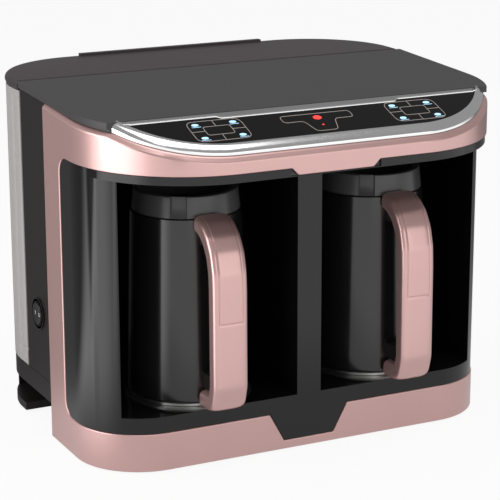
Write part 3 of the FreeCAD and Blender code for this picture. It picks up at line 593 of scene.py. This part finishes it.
@dataclass
class RearTrim:
    """Satin bar behind the glass with a bright lip that steps forward at its middle."""

    front: float = -99.2 * MM
    rear: float = -92.3 * MM
    lip: float = 1.3 * MM
    step_half: float = 68.0 * MM
    step: float = 2.6 * MM
    ramp: float = 3.0 * MM
    depth: float = 4.0 * MM
    bar_lift: float = -0.1 * MM
    lip_lift: float = 0.25 * MM
    crown: float = 0.12 * MM
    side_inset: float = 9.4 * MM

    def front_edge(self, x: Array) -> Array:
        """Y of the lip's front: it steps forward between two short ramps."""
        share = np.clip((self.step_half + self.ramp - np.abs(x)) / self.ramp, 0.0, 1.0)
        return self.front + self.step * (1.0 - share)

    def lip_rear(self, x: Array) -> Array:
        """Y of the lip's rear."""
        return self.front_edge(x) + self.lip

    def bar_rear(self, x: Array) -> Array:
        """Y of the bar's rear, which is straight."""
        return np.full_like(x, self.rear)

    def bar(self, name: str, y0: Edge, y1: Edge, lift: float, finish: str) -> bpy.types.Object:
        """Bar across the head between two edges, on the panel's plane.

        Args:
            name: Name of the piece.
            y0: Front edge as a function of x.
            y1: Rear edge as a function of x.
            lift: Height over the panel's plane.
            finish: Its finish.

        Returns:
            The piece.
        """

        def half(y: float) -> float:
            """Half the length at a depth."""
            radius = HEAD.corner - self.side_inset
            away = y - HEAD.front - HEAD.corner
            return HEAD.half - HEAD.corner + math.sqrt(radius**2 - away**2)

        share = np.linspace(-1.0, 1.0, 241)
        sections = []
        for at in (0.0, 0.5, 1.0):
            guess = self.front + self.lip if at < 1.0 else self.rear
            x = share * half(guess)
            y = y0(x) * (1.0 - at) + y1(x) * at
            crown = lift + self.crown * (1.0 - abs(2.0 * at - 1.0))
            sections.append(np.column_stack([x, y, PLANES.panel(y) + crown]))
        for top in sections[::-1]:
            under = top.copy()
            under[:, 2] -= self.depth
            sections.append(under)
        piece = grid_solid(name, np.stack(sections, axis=1))
        soften(piece, 0.2 * MM)
        return dress(piece, finish, "root")

    def build(self) -> None:
        """Make the satin bar and its bright lip."""
        bar = self.bar("rear_trim_bar", self.lip_rear, self.bar_rear, self.bar_lift, "brushed_trim")
        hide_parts("rear_trim")
        self.bar("rear_trim_lip", self.front_edge, self.lip_rear, self.lip_lift, "chrome")


@dataclass
class TouchPanel:
    """Black glass touch panel with thin printed outlines that carry a faint painted glow, and lit icons.
    """

    inset: float = 9.3 * MM
    rear: float = -96.4 * MM
    sink: float = 0.4 * MM
    thickness: float = 3.0 * MM
    line: float = 0.45 * MM
    proud: float = 0.06 * MM
    ring_x: float = 76.0 * MM
    ring_y: float = -112.0 * MM

    def on_glass(self, plan: Array, lift: float = 0.0) -> Array:
        """Put plan points on the glass.

        Args:
            plan: Points as (n, 2).
            lift: Height over the glass.

        Returns:
            Points as (n, 3).
        """
        z = PLANES.panel(plan[..., 1]) - self.sink + lift
        return np.concatenate([plan, z[..., None]], axis=-1)

    def glass(self) -> None:
        """Ruled sheet between the straight rear edge and the curved front edge."""
        front, _ = HEAD.trace(self.rear, self.inset, 96)
        back_x = np.clip(front[:, 0], front[0, 0], front[-1, 0])
        back = np.stack([back_x, np.full_like(back_x, self.rear)], axis=1)
        front, back = front[1:-1], back[1:-1]
        share = np.linspace(0.0, 1.0, 8)
        plan = back[:, None] + (front - back)[:, None] * share[None, :, None]
        top = self.on_glass(plan)
        under = top[:, ::-1].copy()
        under[..., 2] -= self.thickness
        sheet = grid_solid("touch_glass", np.concatenate([top, under], axis=1))
        soften(sheet, 0.3 * MM)
        dress(sheet, "panel_glass", "root", ["touch_panel"])

    def ribbon(self, name: str, loop: Array, finish: str, closed: bool = True) -> None:
        """Thin printed line along plan points.

        Args:
            name: Name of the piece.
            loop: Points as (n, 2).
            finish: The print's finish.
            closed: True when the line closes on itself.
        """
        ahead = np.roll(loop, -1, axis=0) - loop
        behind = loop - np.roll(loop, 1, axis=0)
        if not closed:
            ahead[-1], behind[0] = behind[-1], ahead[0]
        along = ahead / np.linalg.norm(ahead, axis=1, keepdims=True)
        along = along + behind / np.linalg.norm(behind, axis=1, keepdims=True)
        along /= np.linalg.norm(along, axis=1, keepdims=True)
        side = np.stack([-along[:, 1], along[:, 0]], axis=1) * (self.line / 2)
        left, right = loop + side, loop - side
        edges = ((left, self.proud), (right, self.proud), (right, -self.proud), (left, -self.proud))
        section = np.stack([self.on_glass(edge, lift) for edge, lift in edges], axis=1)
        dress(grid_solid(name, section, wrap_rows=closed), finish, "root")

    def disc(self, name: str, x: float, y: float, rx: float, ry: float, finish: str) -> None:
        """Small lit mark: a low ellipse on the glass."""
        rim = circle(1.0, 20) * [rx, ry] + [x, y]
        rows = np.stack([self.on_glass(rim, -self.proud), self.on_glass(rim, self.proud)], axis=0)
        dress(grid_solid(name, rows), finish, "root")

    def key_ring(self, word: str, side: float) -> None:
        """Printed ring with four lit keys round a plain window."""
        x, y = side * self.ring_x, self.ring_y
        outer = rounded_loop(
            np.array([[-20, -12], [20, -12], [20, 12], [-20, 12]]) * MM, [6 * MM] * 4, 8
        )
        inner = rounded_loop(np.array([[-10, -5], [10, -5], [10, 5], [-10, 5]]) * MM, [2 * MM] * 4, 5)
        self.ribbon("key_ring_" + word, outer + [x, y], "print_grey_painted_glow")
        self.ribbon("key_window_" + word, inner + [x, y], "print_grey_painted_glow")
        for k, (dx, dy) in enumerate(((-14, 8), (14, 8), (-14, -8), (14, -8))):
            cx, cy = x + dx * MM, y + dy * MM
            self.disc(f"key_{word}_{k}", cx, cy, 2.6 * MM, 1.5 * MM, "print_blue")
            saucer = np.array([[-3.4, -2.5], [3.4, -2.5]]) * MM + [cx, cy]
            self.ribbon(f"key_line_{word}_{k}", saucer, "print_blue", closed=False)
        for k, (ax, ay, bx, by) in enumerate(
            ((0, 5, 0, 12), (0, -5, 0, -12), (-10, 0, -20, 0), (10, 0, 20, 0))
        ):
            split = np.array([[ax, ay], [bx, by]]) * MM + [x, y]
            self.ribbon(f"key_split_{word}_{k}", split, "print_grey_painted_glow", closed=False)

    def centre_mark(self) -> None:
        """Printed outline of the shared keys, with the red light."""
        corners = np.array(
            [[-27, 8], [27, 8], [27, 0], [12, 0], [8, -13], [-8, -13], [-12, 0], [-27, 0]]
        )
        loop = rounded_loop(corners * MM, [3 * MM] * len(corners), 7)
        self.ribbon("centre_outline", loop + [0.0, self.ring_y], "print_grey_painted_glow")
        self.disc("red_light", 0.0, self.ring_y + 3.0 * MM, 3.2 * MM, 2.4 * MM, "red_light")
        self.disc("centre_dot", 0.0, self.ring_y - 6.0 * MM, 0.9 * MM, 0.7 * MM, "red_light")
        for k, dx in enumerate((-9.0, -6.0)):
            y = self.ring_y + 13.0 * MM
            self.disc(f"small_mark_{k}", dx * MM, y, 1.0 * MM, 0.8 * MM, "print_grey_painted_glow")

    def build(self) -> None:
        """Make the glass and its prints."""
        self.glass()
        for word, side in SIDES:
            self.key_ring(word, side)
        self.centre_mark()


@dataclass
class WaterTank:
    """Translucent rear tank with upright flutes on both sides."""

    half: float = 158.5 * MM
    front: float = 50.5 * MM
    rear: float = 138.0 * MM
    corner: float = 70.5 * MM
    low: float = 40.3 * MM
    high: float = 248.7 * MM
    wall: float = 2.2 * MM
    flute: float = 12.0 * MM
    first_flute: float = 4.0 * MM
    flutes_end: float = 160.0 * MM
    flutes_fade: float = 20.0 * MM
    depth: float = 1.1 * MM

    def plan(self, inset: float) -> tuple[Array, Array, Array]:
        """Closed plan from the left front corner round the rear.

        Args:
            inset: Distance inwards from the outer wall.

        Returns:
            Points, inward normals and the distance of each from the nearer front corner.
        """
        radius = self.corner
        cx, cy = self.half - radius, self.rear - radius
        side_y = np.linspace(self.front, cy, 90)
        turn = np.linspace(math.pi, math.pi / 2, 150)[1:]
        side = np.stack([np.full_like(side_y, -self.half), side_y], axis=1)
        arc_n = np.stack([-np.cos(turn), -np.sin(turn)], axis=1)
        arc = np.array([-cx, cy]) - arc_n * radius
        left = np.concatenate([side, arc])
        left_n = np.concatenate([np.tile([1.0, 0.0], (len(side), 1)), arc_n])
        reach = np.concatenate([[0.0], np.cumsum(np.linalg.norm(np.diff(left, axis=0), axis=1))])
        rear_x = np.linspace(-cx, cx, 60)[1:-1]
        back = np.stack([rear_x, np.full_like(rear_x, self.rear)], axis=1)
        back_n = np.tile([0.0, -1.0], (len(back), 1))
        points = np.concatenate([left, back, left[::-1] * [-1.0, 1.0]])
        normals = np.concatenate([left_n, back_n, left_n[::-1] * [-1.0, 1.0]])
        away = np.concatenate([reach, np.full(len(back), 1.0), reach[::-1]])
        return points + normals * inset, normals, away

    def build(self) -> None:
        """Loop the wall's plan at each height, outside up and inside down.

        A flute is the absolute value of a sine of the distance along the wall, so that
        soft ribs meet in narrow grooves; it fades out above and below.
        """
        outer, normals, away = self.plan(0.0)
        fade = np.clip((self.flutes_end - away) / self.flutes_fade, 0.0, 1.0)
        wave = np.abs(np.sin(math.pi * (away - self.first_flute) / self.flute))
        groove = self.depth * (1.0 - wave) ** 3 * fade
        heights = np.array([0.0, 0.6, 12.0, 12.6, 13.2, 13.8, 20.0, 200.0, 206.0, 207.8, 208.4])
        heights = heights * MM + self.low
        amount = np.array([0.0, 0.6, 0.6, 0.2, 0.2, 1.0, 1.0, 1.0, 0.4, 0.2, 0.2])
        nick = np.array([0.5, 0.0, 0.0, 0.6, 0.6, 0.0, 0.0, 0.0, 0.0, 0.0, 0.3]) * MM
        shell = []
        for z, share, cut in zip(heights, amount, nick):
            ring = outer + normals * (groove * share + cut)[:, None]
            shell.append(np.column_stack([ring, np.full(len(ring), z)]))
        inner = outer + normals * (self.wall + self.depth * 0.4)
        inner[:, 1] = np.maximum(inner[:, 1], self.front + self.wall)
        for z in (self.high, self.low + 3.0 * MM):
            shell.append(np.column_stack([inner, np.full(len(inner), z)]))
        tank = grid_solid("tank_wall", np.stack(shell, axis=0))
        dress(tank, "tank_clear", "tank", ["water_tank"])


@dataclass
class TankLid:
    """Rear lid over the tank with its raised finger grip."""

    edge: float = 1.0 * MM

    def build(self) -> None:
        """Round the lid's edges and finish it a shade browner than the cover."""
        lid = merged_copy("tank_lid", "tank_lid_skin")
        soften(lid, self.edge)
        dress(lid, "lid_satin", "lid", ["tank_lid"])


@dataclass
class Pot:
    """Black pot with its grey collar and rose strap handle."""

    word: str
    side: float
    x: float = 74.0 * MM
    y: float = -52.0 * MM
    low_radius: float = 44.0 * MM
    high_radius: float = 40.0 * MM
    wall: float = 1.2 * MM
    low: float = 44.0 * MM
    high: float = 176.5 * MM
    collar_top: float = 192.0 * MM
    collar_low: float = 38.6 * MM
    collar_high: float = 37.0 * MM
    collar_bore: float = 33.0 * MM
    notch_turn: float = -122.0
    notch_half: float = 0.155
    notch_side: float = 0.012
    notch_sill: float = 2.0 * MM
    notch_depth: float = 2.2 * MM
    handle_half: float = 13.0 * MM
    handle_reach: float = 6.2 * MM
    handle_power: float = 4.2
    inlay_half: float = 9.0 * MM
    inlay_low: float = 110.0 * MM
    inlay_end_y: float = -96.0 * MM
    line_half: float = 0.75 * MM
    line_depth: float = 0.55 * MM
    path: tuple[tuple[float, float], ...] = (
        (-91.0, 174.6), (-96.0, 174.2), (-103.0, 171.8), (-110.5, 166.0), (-116.4, 157.0),
        (-119.6, 145.0), (-120.4, 131.0), (-120.6, 108.0), (-120.7, 84.0), (-120.8, 64.0),
        (-117.6, 52.4), (-110.0, 50.3), (-102.0, 50.3), (-97.0, 50.6),
    )

    @property
    def body_name(self) -> str:
        """Name of the pot's moving body."""
        return "pot_" + self.word

    @property
    def centre(self) -> Array:
        """Point on the pot's axis at the floor."""
        return np.array([self.side * self.x, self.y, 0.0])

    def vessel(self) -> None:
        """Turned steel wall with a rolled rim and a rounded foot."""
        profile = rounded_loop(
            np.array(
                [
                    [0.0002, self.low],
                    [self.low_radius, self.low],
                    [self.high_radius, self.high],
                    [self.high_radius - self.wall, self.high],
                    [self.low_radius - self.wall, self.low + self.wall],
                    [0.0002, self.low + self.wall],
                ]
            ),
            [0.00001, 3.0 * MM, 0.5 * MM, 0.3 * MM, 4.0 * MM, 0.00001],
            7,
        )
        piece = lathe("pot_vessel_" + self.word, profile, self.centre, count=160)
        dress(piece, "pot_coating", self.body_name, ["pot_body_" + self.word])

    def collar(self) -> None:
        """Turned collar whose pouring notch is a smooth dip in the radius."""
        corners = np.array(
            [
                [self.collar_low, self.high + 0.3 * MM],
                [self.collar_high, self.collar_top],
                [self.collar_bore, self.collar_top],
                [self.collar_bore, self.high + 0.3 * MM],
            ]
        )
        profile = rounded_loop(corners, [0.4 * MM, 0.9 * MM, 0.9 * MM, 0.4 * MM], 6)
        following = np.roll(profile, -1, 0)
        steps = [np.linspace(a, b, 4, endpoint=False) for a, b in zip(profile, following)]
        fine = np.concatenate(steps)

        def notch(turn: Array, radius: Array, height: Array) -> Array:
            """Radius drawn in where the turn is within the notch and the height above its sill."""
            away = np.abs(np.mod(turn - math.radians(self.notch_turn) + math.pi, 2 * math.pi) - math.pi)
            wide = np.clip((self.notch_half - away) / self.notch_side, 0.0, 1.0)
            tall = np.clip((height - self.high - self.notch_sill) / (0.5 * MM), 0.0, 1.0)
            outer = radius > self.collar_bore + 2.4 * MM
            return np.where(outer, radius - wide * tall * self.notch_depth, radius)

        piece = lathe("pot_rim_" + self.word, fine, self.centre, count=720, shape=notch)
        dress(piece, "collar_grey", self.body_name, ["pot_collar_" + self.word])

    def route(self, count: int) -> tuple[Array, Array]:
        """Handle's centre line in the YZ plane.

        Args:
            count: Number of stations.

        Returns:
            Points and outward normals, as (count, 2). The line is a smoothed spline: each
            coordinate is interpolated over the path's length and averaged with its
            neighbours.
        """
        nodes = np.array(self.path) * MM
        reach = np.concatenate([[0.0], np.cumsum(np.linalg.norm(np.diff(nodes, axis=0), axis=1))])
        fine = np.linspace(0.0, reach[-1], count)
        line = np.stack([np.interp(fine, reach, nodes[:, k]) for k in range(2)], axis=1)
        width = count // 40
        kernel = np.hanning(2 * width + 3)[1:-1]
        kernel /= kernel.sum()
        padded = np.concatenate(
            [2 * line[0] - line[width:0:-1], line, 2 * line[-1] - line[-2 : -width - 2 : -1]]
        )
        smooth = np.stack([np.convolve(padded[:, k], kernel, "valid") for k in range(2)], axis=1)
        slope = np.gradient(smooth, axis=0)
        slope /= np.linalg.norm(slope, axis=1, keepdims=True)
        outward = np.stack([slope[:, 1], -slope[:, 0]], axis=1)
        return smooth, outward

    def strap(self, name: str) -> bpy.types.Object:
        """Carry a rounded section along the handle's centre line.

        The section is a superellipse: |across / half|^power + |depth / reach|^power = 1.
        A fine line is sunk round the front panel, and both ends draw in.

        Args:
            name: Name of the piece.

        Returns:
            The piece.
        """
        line, outward = self.route(220)
        turn = np.linspace(0.0, 2.0 * math.pi, 120, endpoint=False)
        cos, sin = np.cos(turn), np.sin(turn)
        power = 2.0 / self.handle_power
        across = self.handle_half * np.sign(cos) * np.abs(cos) ** power
        depth = self.handle_reach * np.sign(sin) * np.abs(sin) ** power
        depth = np.broadcast_to(depth, (len(line), len(turn))).copy()
        z = line[:, 1][:, None]
        front_side = (sin > 0.25)[None, :]
        edge = np.abs(np.abs(across) - self.inlay_half)[None, :]
        near_edge = np.where(z > self.inlay_low, edge, 1.0)
        inside = np.abs(across)[None, :] < self.inlay_half
        near_end = np.where(inside, np.abs(z - self.inlay_low), 1.0)
        sunk = np.clip(1.0 - np.minimum(near_edge, near_end) / self.line_half, 0.0, 1.0)
        upper = line[:, 0][:, None] < self.inlay_end_y
        depth -= np.where(front_side & upper, sunk * self.line_depth, 0.0)
        ends = np.ones(len(line))
        ramp = np.linspace(0.0, 1.0, 7)
        ends[:7] = np.sqrt(1.0 - (1.0 - ramp) ** 2) * 0.35 + 0.65
        ends[-7:] = ends[:7][::-1]
        depth = depth * ends[:, None]
        wide = across[None, :] * ends[:, None]
        yz = line[:, None, :] + outward[:, None, :] * depth[..., None]
        points = np.concatenate([(self.side * self.x + wide)[..., None], yz], axis=-1)
        return grid_solid(name, points)

    def handle(self) -> None:
        """Rose strap over a black lining whose roots meet the pot."""
        shell = self.strap("handle_strap_" + self.word)
        nodes = ["handle_shell_" + self.word, "handle_inlay_" + self.word]
        dress(shell, "rose_metal", self.body_name, nodes)
        lining = merged_copy("handle_core_" + self.word, "handle_lining_" + self.word)
        soften(lining, 0.8 * MM)
        dress(lining, "black_matte", self.body_name, ["handle_core_" + self.word])

    def build(self) -> None:
        """Make the whole pot."""
        self.vessel()
        self.collar()
        self.handle()


@dataclass
class RockerSwitch:
    """Round rocker switch on the left side, with its two plain marks."""

    y: float = 25.0 * MM
    z: float = 88.0 * MM
    wall_x: float = -158.0 * MM
    bezel_radius: float = 12.0 * MM
    bore: float = 8.9 * MM
    rocker_radius: float = 8.3 * MM
    face_x: float = -160.0 * MM
    back_x: float = -153.0 * MM
    dish: float = 0.9 * MM
    mark_y: float = 4.0 * MM

    def build(self) -> None:
        """Turn the bezel and the dished rocker, and lay its marks in the dish."""
        bezel = rounded_loop(
            np.array(
                [
                    [self.bore, 7.0 * MM],
                    [self.bore, -1.2 * MM],
                    [self.bezel_radius, -1.2 * MM],
                    [self.bezel_radius, 0.0],
                    [10.6 * MM, 0.0],
                    [10.6 * MM, 7.0 * MM],
                ]
            ),
            [0.1 * MM, 0.5 * MM, 0.8 * MM, 0.1 * MM, 0.1 * MM, 0.3 * MM],
            6,
        )
        place = (self.wall_x, self.y, self.z)
        ring = lathe("switch_ring", bezel, place, Axis.X, 96)
        dress(ring, "black_gloss", "root")
        radius = np.linspace(0.0, self.rocker_radius, 24)
        radius[0] = 0.05 * MM
        front = self.face_x + self.dish * (1.0 - (radius / self.rocker_radius) ** 2)
        profile = np.concatenate(
            [
                np.stack([radius[:-1], front[:-1]], axis=1),
                [
                    [self.rocker_radius - 0.15 * MM, self.face_x + 0.02 * MM],
                    [self.rocker_radius, self.face_x + 0.4 * MM],
                    [self.rocker_radius, self.back_x],
                    [0.05 * MM, self.back_x],
                ],
            ]
        )
        disc = lathe("rocker_cap", profile, (0.0, self.y, self.z), Axis.X, 96)
        dress(disc, "switch_grey", "rocker", ["rocker"])
        line = np.array([[0.0, -1.5], [0.0, 0.0], [0.0, 1.5]]) * MM
        self.mark("mark_line", line + [self.mark_y, 0.0], closed=False)
        self.mark("mark_ring", circle(1.3 * MM, 28) - [self.mark_y, 0.0], closed=True)

    def mark(self, name: str, loop: Array, closed: bool) -> None:
        """White line on the dished face.

        Args:
            name: Name of the piece.
            loop: Points as (y, z) from the switch's centre.
            closed: True for a ring.
        """
        ahead = np.gradient(loop, axis=0) if not closed else np.roll(loop, -1, 0) - np.roll(loop, 1, 0)
        ahead /= np.linalg.norm(ahead, axis=1, keepdims=True)
        side = np.stack([-ahead[:, 1], ahead[:, 0]], axis=1) * 0.22 * MM
        rows = []
        for offset, lift in ((side, 0.05), (-side, 0.05), (-side, -0.1), (side, -0.1)):
            at = loop + offset
            fall = 1.0 - (np.linalg.norm(at, axis=1) / self.rocker_radius) ** 2
            x = self.face_x + self.dish * fall - lift * MM
            rows.append(np.column_stack([x, at[:, 0] + self.y, at[:, 1] + self.z]))
        piece = grid_solid(name, np.stack(rows, axis=1), wrap_rows=closed)
        dress(piece, "print_white", "rocker")


@dataclass
class InnerWorks:
    """CAD nodes that keep their shape and get a finish of their own."""

    finishes: tuple[tuple[str, tuple[str, ...]], ...] = (
        ("steel", ("base_screws", "lid_pins", "hotplate", "plate_sensor", "sensor_spring", "pot_base")),
        ("pump_plastic", ("valve_cage", "valve_poppet", "feed_manifold", "pump")),
        ("black_matte", ("tank_spigot", "pump_cradle", "water_spout", "sensor_holder")),
        ("black_gloss", ("switch_bezel", "foam_sensor")),
        ("rubber", ("rubber_feet", "spigot_seal", "cord_inlet")),
        ("board", ("control_board", "power_board")),
        ("silicone", ("intake_hose", "delivery_hose")),
    )

    def build(self) -> None:
        """Put each finish in its node's material slots."""
        by_stem = {stem: finish for finish, stems in self.finishes for stem in stems}
        for name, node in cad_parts.items():
            finish = by_stem.get(name.removesuffix("_left").removesuffix("_right"))
            if finish is None:
                continue
            if not node.material_slots:
                node.data.materials.append(PALETTE.get(finish))
            for holder in node.material_slots:
                holder.material = PALETTE.get(finish)
            log.info("%s: finish %s", name, finish)


@dataclass
class Studio:
    """Pale floor, soft lamps and the camera at the photographed angle."""

    turn: float = 26.279
    tilt: float = 15.27
    roll: float = -0.139
    focal_px: float = 1924.75
    frame_px: float = 500.0
    sensor: float = 36.0
    eye: tuple[float, float, float] = (-0.6160, -1.2519, 0.5037)
    floor_glow: float = 0.92
    rear_pool: float = 0.2
    front_pool: float = 1.05
    left_pool: float = 2.4
    mirror_level: float = 0.3
    sky_level: float = 0.4

    def camera(self) -> None:
        """Stand the camera at the eye, turned and tilted towards the object."""
        a, t, r = (math.radians(v) for v in (self.turn, self.tilt, self.roll))
        ahead = Vector((math.sin(a) * math.cos(t), math.cos(a) * math.cos(t), -math.sin(t)))
        right = Vector((math.cos(a), -math.sin(a), 0.0))
        up = right.cross(ahead)
        across = math.cos(r) * right + math.sin(r) * up
        rise = math.cos(r) * up - math.sin(r) * right
        data = bpy.data.cameras.new("camera")
        data.sensor_fit = "HORIZONTAL"
        data.sensor_width = self.sensor
        data.lens = self.focal_px / self.frame_px * self.sensor
        data.clip_start, data.clip_end = 0.05, 50.0
        camera = bpy.data.objects.new("camera", data)
        bpy.context.scene.collection.objects.link(camera)
        turn = Matrix((across, rise, -ahead)).transposed()
        camera.matrix_world = Matrix.Translation(self.eye) @ turn.to_4x4()
        bpy.context.scene.camera = camera

    def lamp(self, name: str, place: Place, aim: Place, size: tuple[float, float], power: float) -> None:
        """Rectangular soft lamp.

        Args:
            name: Name of the lamp.
            place: Where it stands.
            aim: The point that it faces.
            size: Its width and height.
            power: Its strength in watts.
        """
        data = bpy.data.lights.new(name, "AREA")
        data.shape = "RECTANGLE"
        data.size, data.size_y = size
        data.energy = power
        lamp = bpy.data.objects.new(name, data)
        bpy.context.scene.collection.objects.link(lamp)
        lamp.location = place
        lamp.rotation_mode = "QUATERNION"
        lamp.rotation_quaternion = (Vector(aim) - Vector(place)).to_track_quat("-Z", "Y")

    def floor(self) -> None:
        """Wide pale floor, white for the camera and in light and dark pools for a mirror.

        The left pool, a painted pool of light that only mirrors see, lies where y / -x is between a
        front and a rear lean. The front pool covers the floor before the object and dims close to its
        base, a painted shadow of the object in its reflections.
        """
        size = 12.0
        mesh = bpy.data.meshes.new("floor")
        corners = [(-size, -size, 0.0), (size, -size, 0.0), (size, size, 0.0), (-size, size, 0.0)]
        mesh.from_pydata(corners, [], [(0, 1, 2, 3)])
        floor = bpy.data.objects.new("floor", mesh)
        bpy.context.scene.collection.objects.link(floor)
        surface = Surface("floor_white")
        surface.set("Base Color", (0.8, 0.8, 0.8, 1.0))
        surface.set("Roughness", 0.9)
        surface.set("Specular IOR Level", 0.1)
        place = surface.place()
        x, y = (surface.node("ShaderNodeSeparateXYZ", {}, {"Vector": place}, way) for way in "XY")
        lean = y.combine("DIVIDE", y, x.combine("MAXIMUM", 0.0 - x, 0.02))
        # Painted pool of light: the floor to the left glows for mirrors where there is no lamp.
        near = surface.ramp(lean, -0.75, -0.3) * surface.ramp(lean, 0.5, 0.15)
        near = near * surface.ramp(x, -0.15, -0.4)
        # Painted shadow: the front pool dims near the base, standing in for the object's shadow in
        # reflections.
        front = surface.ramp(y, 0.2, -0.15) * (0.55 + 0.45 * surface.ramp(y, -0.18, -0.4))
        glossy = surface.node("ShaderNodeLightPath", {}, {}, "Is Glossy Ray")
        camera = surface.node("ShaderNodeLightPath", {}, {}, "Is Camera Ray") * self.floor_glow
        mixed = Socket(surface.tree, surface.shader.outputs[0])
        pools = ((self.rear_pool, 1.0), (self.front_pool, front), (self.left_pool, near))
        for level, share in pools:
            glow = surface.node("ShaderNodeEmission", {}, {"Strength": level})
            mixed = surface.node("ShaderNodeMixShader", {}, {0: glossy * share, 1: mixed, 2: glow})
        white = surface.node("ShaderNodeEmission", {}, {"Strength": 1.0})
        mixed = surface.node("ShaderNodeMixShader", {}, {0: camera, 1: mixed, 2: white})
        surface.tree.links.new(mixed.out, surface.tree.nodes["Material Output"].inputs["Surface"])
        mesh.materials.append(surface.material)

    def sky(self) -> None:
        """White surround for the camera and for mirrors, softer as a light."""
        world = bpy.data.worlds.new("surround")
        bpy.context.scene.world = world
        world.use_nodes = True
        tree = world.node_tree
        path = tree.nodes.new("ShaderNodeLightPath")
        camera = Socket(tree, path.outputs["Is Camera Ray"])
        glossy = Socket(tree, path.outputs["Is Glossy Ray"])
        through = Socket(tree, path.outputs["Is Transmission Ray"])
        mirrored = camera.combine("MAXIMUM", glossy * self.mirror_level, through)
        seen = camera.combine("MAXIMUM", camera, mirrored)
        diffuse = Socket(tree, path.outputs["Is Diffuse Ray"])
        strength = camera.combine("MAXIMUM", seen, diffuse * self.sky_level)
        ground = tree.nodes["Background"]
        ground.inputs["Color"].default_value = (1.0, 1.0, 1.0, 1.0)
        tree.links.new(strength.out, ground.inputs["Strength"])

    def build(self) -> None:
        """Set up the floor, surround, lamps and camera."""
        self.floor()
        self.sky()
        self.lamp("left_box", (-1.45, 0.15, 0.60), (0.0, 0.15, 0.15), (1.35, 1.3), 15.0)
        self.lamp("front_box", (0.35, -2.3, 0.75), (0.0, 0.0, 0.12), (2.6, 1.5), 12.0)
        self.lamp("top_box", (0.0, -0.5, 2.0), (0.0, 0.0, 0.2), (1.6, 1.0), 12.0)
        self.camera()


def corners(box: tuple[Vector, Vector]) -> list[list[float]]:
    """A box's two corners as plain numbers."""
    return [list(map(float, corner)) for corner in box]


def main() -> None:
    """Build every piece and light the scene."""
    logging.basicConfig(level=logging.INFO, format="%(name)s %(message)s")
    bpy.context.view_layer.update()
    makers = [Casing(), FrontTrim(), RearTrim(), TouchPanel(), WaterTank(), TankLid()]
    makers += [RockerSwitch(), InnerWorks()]
    makers += [Pot(word, side) for word, side in SIDES]
    makers.append(Studio())
    for maker in makers:
        log.info("building %s", type(maker).__name__)
        maker.build()
    bpy.context.scene.view_settings.view_transform = "Standard"
    bpy.context.view_layer.update()


if __name__ == "__main__":
    main()
